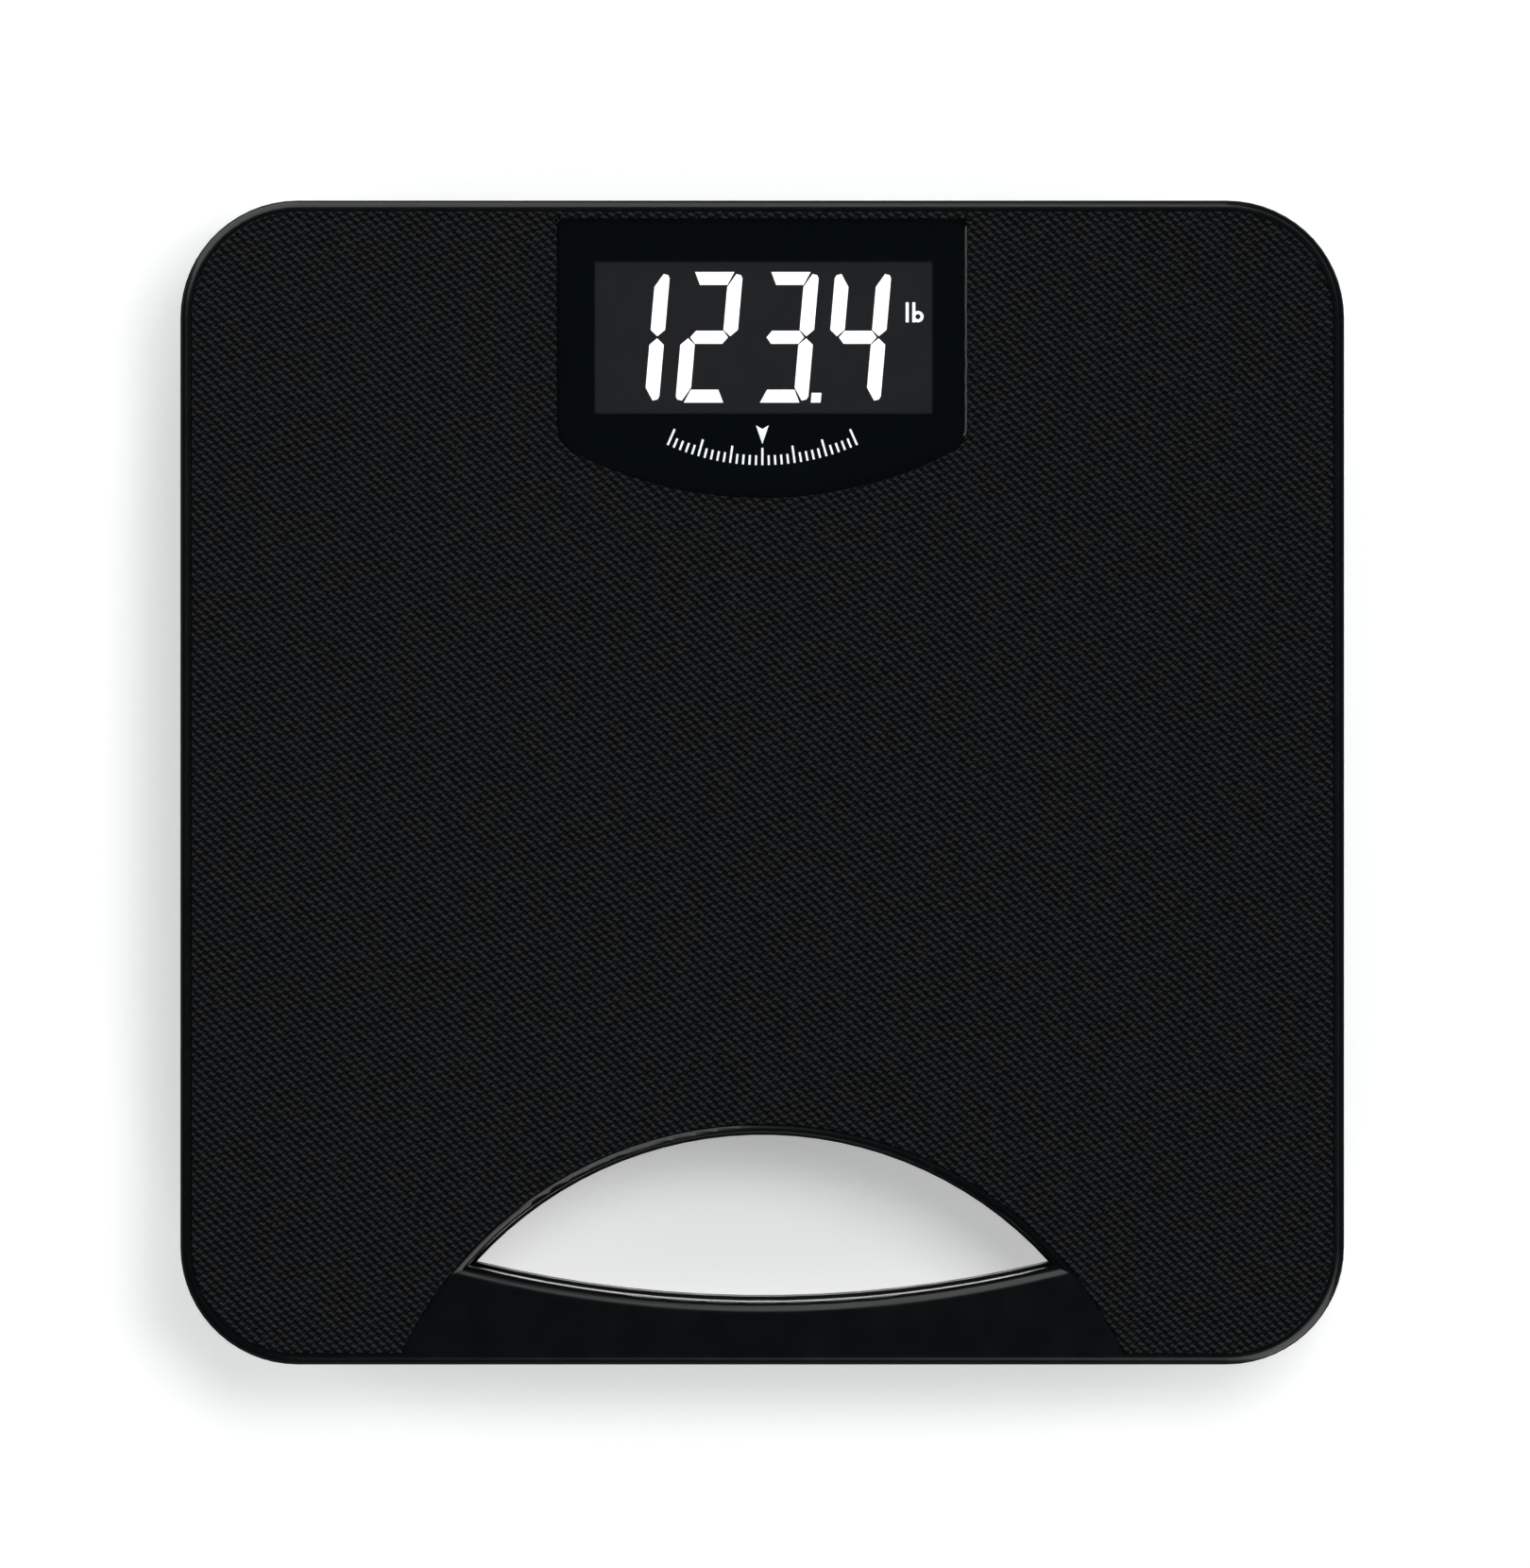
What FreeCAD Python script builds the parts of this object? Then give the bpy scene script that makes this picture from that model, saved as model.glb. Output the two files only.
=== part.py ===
import FreeCAD, Part
import math
import os

# Digital bathroom scale, lying on its four feet. Lengths are in millimetres and angles in degrees.
# The origin is on the floor under the middle of the platform. +Z is up, +Y points from the middle
# to the display, and +X to the right of a person who reads it.

# ---------------------------------------------------------------- driving dimensions
# Outline
SIDE = 310.0
CORNER_R = 31.3

# Levels above the floor
BASE_BOTTOM_Z = 8.0
BASE_FLOOR_Z = 10.4
PARTING_Z = 20.0
PLATE_UNDER_Z = 33.4
MAT_SEAT_Z = 36.2
RIM_TOP_Z = 37.2
MAT_TOP_Z = 38.0
OVERCUT = 1.0
SAME_LEVEL = 1e-6

# Top shell
TOP_WALL = 2.6
RIM_ROUND = 2.2
RIB_T = 1.6
RIB_PITCH = 38.0
RIB_REACH = 3
RIB_BOTTOM_Z = 28.4

# Base shell
BASE_INSET = 1.0
BASE_WALL = 3.0
BASE_ROUND = 6.0
BASE_INNER_ROUND = 3.0
LIP_TOP_Z = 22.5
LIP_GAP = 0.2

# Carrying opening: the space where two discs overlap. The platform disc has the arc beside the
# platform, and the bar disc has the arc beside the carrying bar.
PLATFORM_DISC_Y = -197.2
PLATFORM_DISC_R = 103.1
BAR_DISC_Y = 187.5
BAR_DISC_R = 324.8
BASE_COLLAR_T = 2.4
BASE_COLLAR_TOP_Z = 24.0
BASE_COLLAR_ROUND = 1.6
TOP_SETBACK_PLATFORM = 1.05
TOP_SETBACK_BAR = 0.9
TOP_ROUND_PLATFORM = 1.9
TOP_ROUND_BAR = 3.5
TOP_COLLAR_T = 2.4
TOP_COLLAR_Z = 24.2

# Mat
MAT_INSET = 3.1
MAT_GAP = 0.15
MAT_ROUND = 0.4
MAT_BAR_R = 106.35

# Display panel. Its lower edge is an arc, its sides are straight.
PANEL_HALF_X = 54.5
PANEL_TOP_Y = 149.9
PANEL_ARC_R = 110.7
PANEL_LOW_Y = 75.9
PANEL_TOP_CORNER_R = 2.0
PANEL_LOW_CORNER_R = 8.0
PANEL_LEAST_R = 0.5
PANEL_GAP = 0.15
LENS_TOP_Z = 38.0
LENS_BOTTOM_Z = 35.55
LENS_BEVEL_ACROSS = 0.6
LENS_BEVEL_DOWN = 0.3
MASK_TOP_Z = 35.5
MASK_BOTTOM_Z = 35.35
MASK_INSET = 0.1
SEAL_BOTTOM_Z = 35.0
SEAL_INSET = 0.6
SEAL_WIDTH = 2.6

# Window in the panel and the liquid-crystal display under it
WINDOW_X = 0.3
WINDOW_Y = 118.5
WINDOW_W = 90.2
WINDOW_H = 40.7
APERTURE_W = 93.0
APERTURE_H = 43.5
GLASS_W = 96.0
GLASS_H = 46.6
GLASS_T = 1.1
GLASS_TOP_Z = 33.2
GLASS_LEDGE = 2.8
SEGMENT_T = 0.15
LIGHT_W = 94.0
LIGHT_H = 40.6
LIGHT_BOTTOM_Z = 28.2
LIGHT_TOP_Z = 30.8
HOLDER_W = 101.0
HOLDER_H = 52.0
HOLDER_GAP = 0.3
STRIP_HALF_X = 40.0
STRIP_T = 1.5
STRIP_SIDE_GAP = 0.15
STRIP_FROM_GLASS = 0.3

# Digits: seven-segment figures that lean to the right
DIGIT_H = 34.8
DIGIT_W = 15.0
DIGIT_BASE_Y = 101.2
DIGIT_LEFTS = (-42.6, -23.2, -2.9, 16.4)
DIGIT_SEGMENTS = ("bc", "abged", "abgcd", "fgbc")
DIGIT_LEAN = 0.087
STROKE_ACROSS = 3.85
STROKE_ALONG = 3.45
SEGMENT_GAP = 0.55
SEGMENT_TIP = 1.7
POINT_X = 12.9
POINT_SIZE = 2.6
UNIT_X = 38.2
UNIT_Y = 122.6
UNIT_H = 5.3
UNIT_STROKE = 0.8
UNIT_BOWL_R = 1.5
UNIT_STEM_STEP = 1.75

# Circuit board
BOARD_HALF_X = 60.0
BOARD_LOW_Y = 86.0
BOARD_HIGH_Y = 148.0
BOARD_BOTTOM_Z = 25.0
BOARD_TOP_Z = 26.6
BOARD_CORNER_R = 2.0
BOARD_SCREW_X = 56.0
BOARD_SCREW_YS = (91.0, 143.0)
BOARD_BOSS_R = 2.8
BOARD_PILOT_R = 1.05
BOARD_HOLE_R = 1.3
BOARD_SCREW_R = 1.0
BOARD_SCREW_TIP_Z = 31.0
CHIP_X = -18.0
CHIP_Y = 120.0
CHIP_SIZE = 10.0
CHIP_BOTTOM_Z = 23.5
CHIP_TOP_Z = 24.9
CHIP_LEGS = 8
CHIP_LEG_PITCH = 1.2
CHIP_LEG_W = 0.5
CHIP_LEG_OUT = 1.3
CHIP_LEG_BOTTOM_Z = 24.2
SOCKET_Y = 87.0
SOCKET_DEPTH = 6.0
SOCKET_H = 4.6
LEAD_END_Z = 22.6
CELL_SOCKET_XS = (-40.0, -22.0, 22.0, 40.0)
CELL_SOCKET_W = 7.6
BATTERY_SOCKET_X = 7.1
BATTERY_SOCKET_W = 5.4
SWITCH_SOCKET_X = -9.0
SOCKET_CHAMFER = 0.4
CAPACITOR_XS = (10.0, 18.0)
CAPACITOR_Y = 108.0
CAPACITOR_R = 2.5
CAPACITOR_H = 6.0
CRYSTAL_X = -30.0
CRYSTAL_Y = 106.0
CRYSTAL_SIZE_X = 11.0
CRYSTAL_SIZE_Y = 4.5
CRYSTAL_ROUND = 2.2
CRYSTAL_H = 3.6
TRANSISTOR_X = 30.0
TRANSISTOR_Y = 120.0
TRANSISTOR_SIZE_X = 4.6
TRANSISTOR_SIZE_Y = 3.8
TRANSISTOR_H = 3.2
RESISTOR_ROWS = 2
RESISTOR_COLUMNS = 6
RESISTOR_X = 4.0
RESISTOR_Y = 128.0
RESISTOR_PITCH_X = 5.0
RESISTOR_PITCH_Y = 6.0
RESISTOR_SIZE_X = 3.2
RESISTOR_SIZE_Y = 1.6
RESISTOR_H = 0.6

# Feet and load cells, one set in each corner
FOOT_X = 113.0
FOOT_Y = 113.0
WELL_R = 21.5
WELL_WALL = 2.4
WELL_ROOF_UNDER_Z = 11.6
CELL_SEAT_Z = 14.0
WELL_HOLE_R = 7.5
CUP_R = 20.0
CUP_BOTTOM_Z = 1.4
CUP_TOP_Z = 10.4
CUP_WALL = 2.4
CUP_FLOOR_Z = 4.8
CUP_RIB_TOP_Z = 9.4
CUP_EDGE_ROUND = 0.8
PAD_R = 18.0
PAD_TOP_Z = 3.0
PAD_GAP = 0.2
PAD_EDGE_ROUND = 0.6
PAD_GROOVE_RS = (6.0, 10.0, 14.0)
PAD_GROOVE_W = 1.2
PAD_GROOVE_DEPTH = 0.7
BOSS_R = 6.0
PEG_R = 1.9
PEG_TOP_Z = 18.4
BARB_R = 2.6
BARB_Z = 16.9
CELL_SIZE_X = 38.0
CELL_SIZE_Y = 34.0
CELL_T = 2.5
CELL_CORNER_R = 3.0
TONGUE_HALF_X = 7.0
TONGUE_LOW_Y = -8.0
TONGUE_HIGH_Y = 10.0
TONGUE_SLOT = 2.0
TONGUE_HOLE_R = 2.2
GAUGE_HALF_X = 4.0
GAUGE_LOW_Y = 6.5
GAUGE_HIGH_Y = 12.4
GAUGE_TOP_Z = 18.0
GAUGE_ROUND = 0.6
RETAINER_X = 46.0
RETAINER_Y = 42.0
RETAINER_TOP_Z = 18.5
RETAINER_WINDOW_X = 30.0
RETAINER_WINDOW_Y = 26.0
RETAINER_GAP = 0.2
RETAINER_NOTCH_HALF = 3.2
EAR_X = 27.0
EAR_R = 4.0
EAR_TOP_Z = 17.0
EAR_HOLE_R = 1.35
EAR_PILOT_R = 1.25
RETAINER_SCREW_R = 1.2
TOWER_T = 2.4

# Housing screws: they come up from below, through the base shell, into the top shell
HOUSING_SCREW_PLACES = (
    (-60.0, -144.5),
    (60.0, -144.5),
    (-80.0, 141.5),
    (80.0, 141.5),
    (-142.0, -50.0),
    (142.0, -50.0),
    (-142.0, 50.0),
    (142.0, 50.0),
)
HOUSING_BOSS_R = 4.5
HOUSING_BASE_BOSS_TOP_Z = 21.8
HOUSING_TOP_BOSS_Z = 22.0
HOUSING_SINK_R = 3.4
HOUSING_SINK_Z = 13.0
HOUSING_HOLE_R = 1.75
HOUSING_PILOT_R = 1.55
HOUSING_PILOT_END_Z = 31.4
HOUSING_SCREW_R = 1.5
HOUSING_SCREW_TIP_Z = 30.0
HEAD_TO_SHANK = 2.0
HEAD_HEIGHT_TO_SHANK = 1.2
HEAD_ROUND_TO_SHANK = 0.4
TIP_CHAMFER_TO_SHANK = 0.5
CROSS_TO_SHANK = 1.1
CROSS_W = 0.6

# Battery box: four AA cells side by side, in line with Y, each turned round from the one before
BATTERY_COUNT = 4
BATTERY_R = 7.25
BATTERY_LENGTH = 50.5
NUB_R = 2.75
NUB_H = 1.2
BATTERY_PITCH = 14.9
BATTERY_Z = 18.0
BATTERY_EDGE_ROUND = 0.7
BOX_HALF_X = 31.0
BOX_HALF_Y = 29.0
BOX_WALL = 1.8
BOX_CEILING_Z = 25.7
BOX_ROOF_T = 1.6
CRADLE_T = 1.2
CRADLE_TOP_Z = 12.6
PLATE_T = 0.4
PLATE_HALF_W = 5.6
PLATE_LOW_Z = 12.4
PLATE_HIGH_Z = 24.6
DIMPLE_R = 3.2
SPRING_WIRE_R = 0.4
SPRING_TURNS = 5
SPRING_STEP = 0.63
SPRING_R = 5.2
SPRING_TAPER = 0.35
WIRE_HOLE_R = 1.0

# Battery door, hinged at +Y, with a latch finger at -Y
DOOR_T = 1.6
DOOR_HALF_X = 34.6
DOOR_LOW_Y = -36.6
DOOR_HIGH_Y = 29.2
DOOR_CORNER_R = 3.0
DOOR_GAP = 0.4
DOOR_ROOM_Z = 9.8
DOOR_PAD_TOP_Z = 12.0
DOOR_PAD_MARGIN = 3.6
HINGE_Y = 32.5
HINGE_Z = 9.3
HINGE_HALF_X = 30.0
HINGE_R = 1.3
HINGE_ROOM_R = 1.65
HINGE_PIN_R = 0.8
HINGE_PIN_HOLE_R = 0.86
HINGE_PIN_LENGTH = 2.6
HINGE_HIGH_Y = 34.6
FINGER_HALF_X = 4.6
FINGER_LOW_Y = -34.2
FINGER_T = 1.0
FINGER_TOP_Z = 13.6
NIB_OUT = 1.5
NIB_Z = 12.4
LATCH_SLOT_LOW_Y = -36.0
LATCH_SLOT_HIGH_Y = -32.4
LATCH_SLOT_HALF_X = 5.4
SCOOP_R = 7.5
SCOOP_Y = -37.4
SCOOP_TOP_Z = 10.2
GRIP_COUNT = 5
GRIP_PITCH = 2.2
GRIP_W = 1.0
GRIP_DEPTH = 0.4
GRIP_HALF_X = 9.0
GRIP_LOW_Y = -33.0

# Unit switch in the base
SWITCH_X = 0.0
SWITCH_Y = 62.0
SWITCH_RECESS_X = 18.0
SWITCH_RECESS_Y = 10.0
SWITCH_RECESS_Z = 9.2
SWITCH_RECESS_R = 2.0
SWITCH_SLOT_X = 9.2
SWITCH_SLOT_Y = 3.2
SWITCH_BODY_X = 15.0
SWITCH_BODY_Y = 8.0
SWITCH_BODY_TOP_Z = 15.4
SWITCH_CHAMFER = 0.5
SWITCH_CAVITY_X = 10.2
SWITCH_CAVITY_Y = 5.0
SWITCH_CAVITY_TOP_Z = 12.6
SLIDER_TRAVEL = 3.0
SLIDER_STEM_X = 3.4
SLIDER_STEM_Y = 2.6
SLIDER_STEM_Z = 8.5
SLIDER_FLANGE_X = 6.6
SLIDER_FLANGE_Y = 4.4
SLIDER_FLANGE_LOW_Z = 10.6
SLIDER_FLANGE_TOP_Z = 11.8

# Label
LABEL_X = 0.0
LABEL_Y = 100.0
LABEL_SIZE_X = 72.0
LABEL_SIZE_Y = 34.0
LABEL_CORNER_R = 3.0
LABEL_RECESS = 0.2
LABEL_T = 0.15
LABEL_MARGIN = 1.0

# Leads
LEAD_R = 0.6
LEAD_PITCH = 1.5
LEAD_BEND = 7.0
LEAD_START_Z = 17.2
LEAD_FLOOR_Z = 11.4
BATTERY_LEAD_R = 0.7
BATTERY_LEAD_BEND = 6.0
SWITCH_LEAD_BEND = 3.0
SWITCH_LEAD_OUT = 5.0
SWITCH_LEAD_RISE = 14.0
BATTERY_LEAD_OUT = 11.0
BATTERY_LEAD_RISE = 16.0
BATTERY_PIN_X = 0.9
NEGATIVE_LEAD_CORNER = (-4.0, 50.0)
POSITIVE_LEAD_CORNER = (13.0, 54.0)
CELL_LEAD_OUT = 10.0
# Where the right-hand cell leads turn on the base's floor, and the Y where they start to rise
FRONT_LEAD_CORNERS = ((113.0, -62.0), (113.0, 18.0), (84.0, 48.0), (42.0, 54.0))
FRONT_LEAD_RISE_Y = 66.0
DISPLAY_LEAD_CORNERS = ((98.0, 66.0), (62.0, 62.0))
DISPLAY_LEAD_RISE_Y = 74.0


# ---------------------------------------------------------------- shapes
def vector(x, y, z):
    return FreeCAD.Vector(x, y, z)


def block(x0, x1, y0, y1, z0, z1):
    return Part.makeBox(x1 - x0, y1 - y0, z1 - z0, vector(x0, y0, z0))


def centred_block(x, y, size_x, size_y, z0, z1):
    return block(x - size_x / 2, x + size_x / 2, y - size_y / 2, y + size_y / 2, z0, z1)


def cylinder(x, y, radius, z0, z1):
    return Part.makeCylinder(radius, z1 - z0, vector(x, y, z0))


def rod_along_x(x0, x1, y, z, radius):
    return Part.makeCylinder(radius, x1 - x0, vector(x0, y, z), vector(1, 0, 0))


def rod_along_y(x, y0, y1, z, radius):
    return Part.makeCylinder(radius, y1 - y0, vector(x, y0, z), vector(0, 1, 0))


def prism(points, z0, z1):
    """An upright prism on a polygon of (x, y) points."""
    corners = [vector(x, y, z0) for x, y in points]
    outline = Part.makePolygon(corners + corners[:1])
    return Part.Face(outline).extrude(vector(0, 0, z1 - z0))


def upright_edges(shape):
    """The straight edges that run along Z."""
    edges = [edge for edge in shape.Edges if len(edge.Vertexes) == 2]
    return [edge for edge in edges if is_upright(edge)]


def is_upright(edge):
    first, last = edge.Vertexes
    same_place = math.hypot(first.X - last.X, first.Y - last.Y) < 1e-6
    return same_place and abs(first.Z - last.Z) > 1e-6


def edges_at_level(shape, z):
    """The edges that lie at height z."""
    return [
        edge
        for edge in shape.Edges
        if max(abs(edge.BoundBox.ZMin - z), abs(edge.BoundBox.ZMax - z)) < SAME_LEVEL
    ]


def rounded_block(x, y, size_x, size_y, radius, z0, z1):
    """A block with its four upright edges rounded."""
    body = centred_block(x, y, size_x, size_y, z0, z1)
    return body.makeFillet(radius, upright_edges(body))


def square_block(inset, z0, z1):
    """The scale's rounded-square outline, drawn in by an inset."""
    size = SIDE - 2 * inset
    return rounded_block(0, 0, size, size, CORNER_R - inset, z0, z1)


def disc_overlap(platform_r, bar_r, z0, z1):
    """The crescent where the platform disc and the bar disc overlap."""
    platform_disc = cylinder(0, PLATFORM_DISC_Y, platform_r, z0, z1)
    bar_disc = cylinder(0, BAR_DISC_Y, bar_r, z0, z1)
    return platform_disc.common(bar_disc)


def flared_disc(y, radius, edge_round, edge_z, far_z):
    """A disc from far_z to edge_z that flares out at edge_z, to cut an opening with a rounded edge."""
    out = 1 if edge_z > far_z else -1
    diagonal = edge_round * math.sqrt(0.5)
    centre_r = radius + edge_round
    centre_z = edge_z - out * edge_round
    beyond_z = edge_z + out * OVERCUT
    arc_start = vector(radius, 0, centre_z)
    arc_middle = vector(centre_r - diagonal, 0, centre_z + out * diagonal)
    arc_end = vector(centre_r, 0, edge_z)
    edges = [
        Part.makeLine(vector(0, 0, far_z), vector(radius, 0, far_z)),
        Part.makeLine(vector(radius, 0, far_z), arc_start),
        Part.Arc(arc_start, arc_middle, arc_end).toShape(),
        Part.makeLine(arc_end, vector(centre_r, 0, beyond_z)),
        Part.makeLine(vector(centre_r, 0, beyond_z), vector(0, 0, beyond_z)),
        Part.makeLine(vector(0, 0, beyond_z), vector(0, 0, far_z)),
    ]
    profile = Part.Face(Part.Wire(edges))
    disc = profile.revolve(vector(0, 0, 0), vector(0, 0, 1), 360)
    disc.translate(vector(0, y, 0))
    return disc


def panel_block(inset, z0, z1):
    """The display panel's outline, drawn in by an inset."""
    arc_r = PANEL_ARC_R - inset
    arc_y = PANEL_LOW_Y + PANEL_ARC_R
    half_x = PANEL_HALF_X - inset
    top_y = PANEL_TOP_Y - inset
    plain = block(-half_x, half_x, arc_y - arc_r - OVERCUT, top_y, z0, z1)
    body = plain.common(cylinder(0, arc_y, arc_r, z0, z1))
    low_edges = [edge for edge in upright_edges(body) if edge.Vertexes[0].Y < WINDOW_Y]
    body = body.makeFillet(max(PANEL_LOW_CORNER_R - inset, PANEL_LEAST_R), low_edges)
    top_edges = [edge for edge in upright_edges(body) if edge.Vertexes[0].Y > top_y - OVERCUT / 2]
    return body.makeFillet(max(PANEL_TOP_CORNER_R - inset, PANEL_LEAST_R), top_edges)


def window_block(size_x, size_y, z0, z1):
    """A block centred on the display's window."""
    return centred_block(WINDOW_X, WINDOW_Y, size_x, size_y, z0, z1)


def screw(x, y, seat_z, tip_z, shank_r):
    """A pan-head screw with a cross recess, whose head rests on seat_z and whose tip is at tip_z."""
    along = 1 if tip_z > seat_z else -1
    head_z = seat_z - along * HEAD_HEIGHT_TO_SHANK * shank_r
    recess_z = head_z + along * shank_r * HEAD_HEIGHT_TO_SHANK / 2
    head = cylinder(x, y, HEAD_TO_SHANK * shank_r, min(head_z, seat_z), max(head_z, seat_z))
    head = head.makeFillet(shank_r * HEAD_ROUND_TO_SHANK, edges_at_level(head, head_z))
    shank = cylinder(x, y, shank_r, min(seat_z, tip_z), max(seat_z, tip_z))
    shank = shank.makeChamfer(shank_r * TIP_CHAMFER_TO_SHANK, edges_at_level(shank, tip_z))
    arm = 2 * CROSS_TO_SHANK * shank_r
    low = min(head_z - along * OVERCUT, recess_z)
    high = max(head_z - along * OVERCUT, recess_z)
    cross = [
        centred_block(x, y, arm, CROSS_W, low, high),
        centred_block(x, y, CROSS_W, arm, low, high),
    ]
    return head.fuse(shank).cut(cross)


def flat_direction(start, end):
    step = vector(end.x - start.x, end.y - start.y, 0)
    return step.normalize()


def beside(route, offset):
    """The route moved sideways in plan, parallel to itself."""
    moved = []
    for place, point in enumerate(route):
        before = route[max(place - 1, 0)]
        after = route[min(place + 1, len(route) - 1)]
        come = flat_direction(before, point) if place else flat_direction(point, after)
        go = flat_direction(point, after) if place < len(route) - 1 else come
        come_side = vector(-come.y, come.x, 0)
        go_side = vector(-go.y, go.x, 0)
        mitre = (come_side + go_side) / (1 + come_side.dot(go_side))
        moved.append(point + mitre * offset)
    return moved


def tube(route, radius, bend):
    """A round tube whose straight runs are joined by tangent arcs."""
    edges = []
    start = route[0]
    for before, corner, after in zip(route, route[1:], route[2:]):
        come = (corner - before).normalize()
        go = (after - corner).normalize()
        half_turn = come.getAngle(go) / 2
        inward = (go - come).normalize()
        arc_start = corner - come * (bend * math.tan(half_turn))
        arc_end = corner + go * (bend * math.tan(half_turn))
        arc_middle = corner + inward * (bend / math.cos(half_turn) - bend)
        edges.append(Part.makeLine(start, arc_start))
        edges.append(Part.Arc(arc_start, arc_middle, arc_end).toShape())
        start = arc_end
    edges.append(Part.makeLine(start, route[-1]))
    section = Part.Wire(Part.makeCircle(radius, route[0], route[1] - route[0]))
    return Part.Wire(edges).makePipeShell([section], True, True)


def three_core_lead(route, bend):
    """Three thin wires side by side."""
    return [tube(beside(route, side * LEAD_PITCH), LEAD_R, bend) for side in (-1, 0, 1)]


def corners():
    """Each foot: its name, and the signs of its x and y."""
    return (
        ("front_left", -1, -1),
        ("front_right", 1, -1),
        ("display_left", -1, 1),
        ("display_right", 1, 1),
    )


def at_foot(shape, side_x, side_y):
    """Moves a shape drawn about the origin, with its leads towards +Y, to a foot."""
    placed = shape.copy()
    if side_y > 0:
        placed.rotate(vector(0, 0, 0), vector(0, 0, 1), 180)
    placed.translate(vector(side_x * FOOT_X, side_y * FOOT_Y, 0))
    return placed


def at_all_feet(shape):
    return [at_foot(shape, side_x, side_y) for _, side_x, side_y in corners()]


def save(node, shapes):
    """Writes the shapes' solids as one node."""
    solids = [solid for shape in shapes for solid in shape.Solids]
    for solid in solids:
        if not solid.isValid() or solid.Volume <= 0:
            raise ValueError(f"{node} has a bad solid")
    group = solids[0] if len(solids) == 1 else Part.makeCompound(solids)
    group.exportStep(f"parts/{node}.step")


# ---------------------------------------------------------------- top shell and mat
def rib_grid():
    """Ribs under the top plate, both ways, kept clear of the display and the carrying opening."""
    half = SIDE / 2 - TOP_WALL / 2
    ribs = []
    for number in range(-RIB_REACH, RIB_REACH + 1):
        place = number * RIB_PITCH
        ribs.append(centred_block(place, 0, RIB_T, 2 * half, RIB_BOTTOM_Z, PLATE_UNDER_Z))
        ribs.append(centred_block(0, place, 2 * half, RIB_T, RIB_BOTTOM_Z, PLATE_UNDER_Z))
    grid = ribs[0].fuse(ribs[1:])
    inside = square_block(TOP_WALL / 2, RIB_BOTTOM_Z, PLATE_UNDER_Z)
    display_room = block(
        -BOARD_HALF_X - OVERCUT,
        BOARD_HALF_X + OVERCUT,
        BOARD_LOW_Y - OVERCUT,
        BOARD_HIGH_Y + OVERCUT,
        RIB_BOTTOM_Z - OVERCUT,
        PLATE_UNDER_Z + OVERCUT,
    )
    return grid.common(inside).cut(display_room)


def top_collar():
    """The wall that hangs down round the carrying opening."""
    return disc_overlap(
        PLATFORM_DISC_R + TOP_SETBACK_PLATFORM + TOP_COLLAR_T,
        BAR_DISC_R + TOP_SETBACK_BAR + TOP_COLLAR_T,
        TOP_COLLAR_Z,
        PLATE_UNDER_Z,
    )


def load_tower():
    """The square tube that presses on a load cell's retainer."""
    inner_x = RETAINER_X - 2 * TOWER_T
    inner_y = RETAINER_Y - 2 * TOWER_T
    outer = centred_block(0, 0, RETAINER_X, RETAINER_Y, RETAINER_TOP_Z, PLATE_UNDER_Z)
    return outer.cut(centred_block(0, 0, inner_x, inner_y, RETAINER_TOP_Z - OVERCUT, PLATE_UNDER_Z))


def mat_seat():
    """The recess that holds the mat, with its floor at the mat's underside."""
    seat = square_block(MAT_INSET - MAT_GAP, MAT_SEAT_Z, RIM_TOP_Z + OVERCUT)
    bar = cylinder(0, PLATFORM_DISC_Y, MAT_BAR_R - MAT_GAP, MAT_SEAT_Z, RIM_TOP_Z + OVERCUT)
    return seat.cut(bar)


def top_opening():
    """The cutter for the carrying opening, with the top shell's two rounded edges."""
    low_z = PARTING_Z - OVERCUT
    platform_side = flared_disc(
        PLATFORM_DISC_Y,
        PLATFORM_DISC_R + TOP_SETBACK_PLATFORM,
        TOP_ROUND_PLATFORM,
        RIM_TOP_Z,
        low_z,
    )
    bar_side = flared_disc(
        BAR_DISC_Y, BAR_DISC_R + TOP_SETBACK_BAR, TOP_ROUND_BAR, RIM_TOP_Z, low_z
    )
    return platform_side.common(bar_side)


def top_shell():
    body = square_block(0, PARTING_Z, RIM_TOP_Z)
    body = body.makeFillet(RIM_ROUND, edges_at_level(body, RIM_TOP_Z))
    body = body.cut(square_block(TOP_WALL, PARTING_Z - OVERCUT, PLATE_UNDER_Z))
    inner = [rib_grid(), top_collar()]
    inner += at_all_feet(load_tower())
    for x, y in HOUSING_SCREW_PLACES:
        inner.append(cylinder(x, y, HOUSING_BOSS_R, HOUSING_TOP_BOSS_Z, PLATE_UNDER_Z))
    for x, y in board_screw_places():
        inner.append(cylinder(x, y, BOARD_BOSS_R, BOARD_TOP_Z, PLATE_UNDER_Z))
    body = body.fuse(inner)
    holes = [
        mat_seat(),
        top_opening(),
        panel_block(-PANEL_GAP, SEAL_BOTTOM_Z, RIM_TOP_Z + OVERCUT),
        window_block(APERTURE_W, APERTURE_H, PLATE_UNDER_Z - OVERCUT, RIM_TOP_Z),
    ]
    for x, y in HOUSING_SCREW_PLACES:
        holes.append(
            cylinder(x, y, HOUSING_PILOT_R, HOUSING_TOP_BOSS_Z - OVERCUT, HOUSING_PILOT_END_Z)
        )
    for x, y in board_screw_places():
        holes.append(cylinder(x, y, BOARD_PILOT_R, BOARD_TOP_Z - OVERCUT, BOARD_SCREW_TIP_Z))
    return body.cut(holes).removeSplitter()


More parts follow.
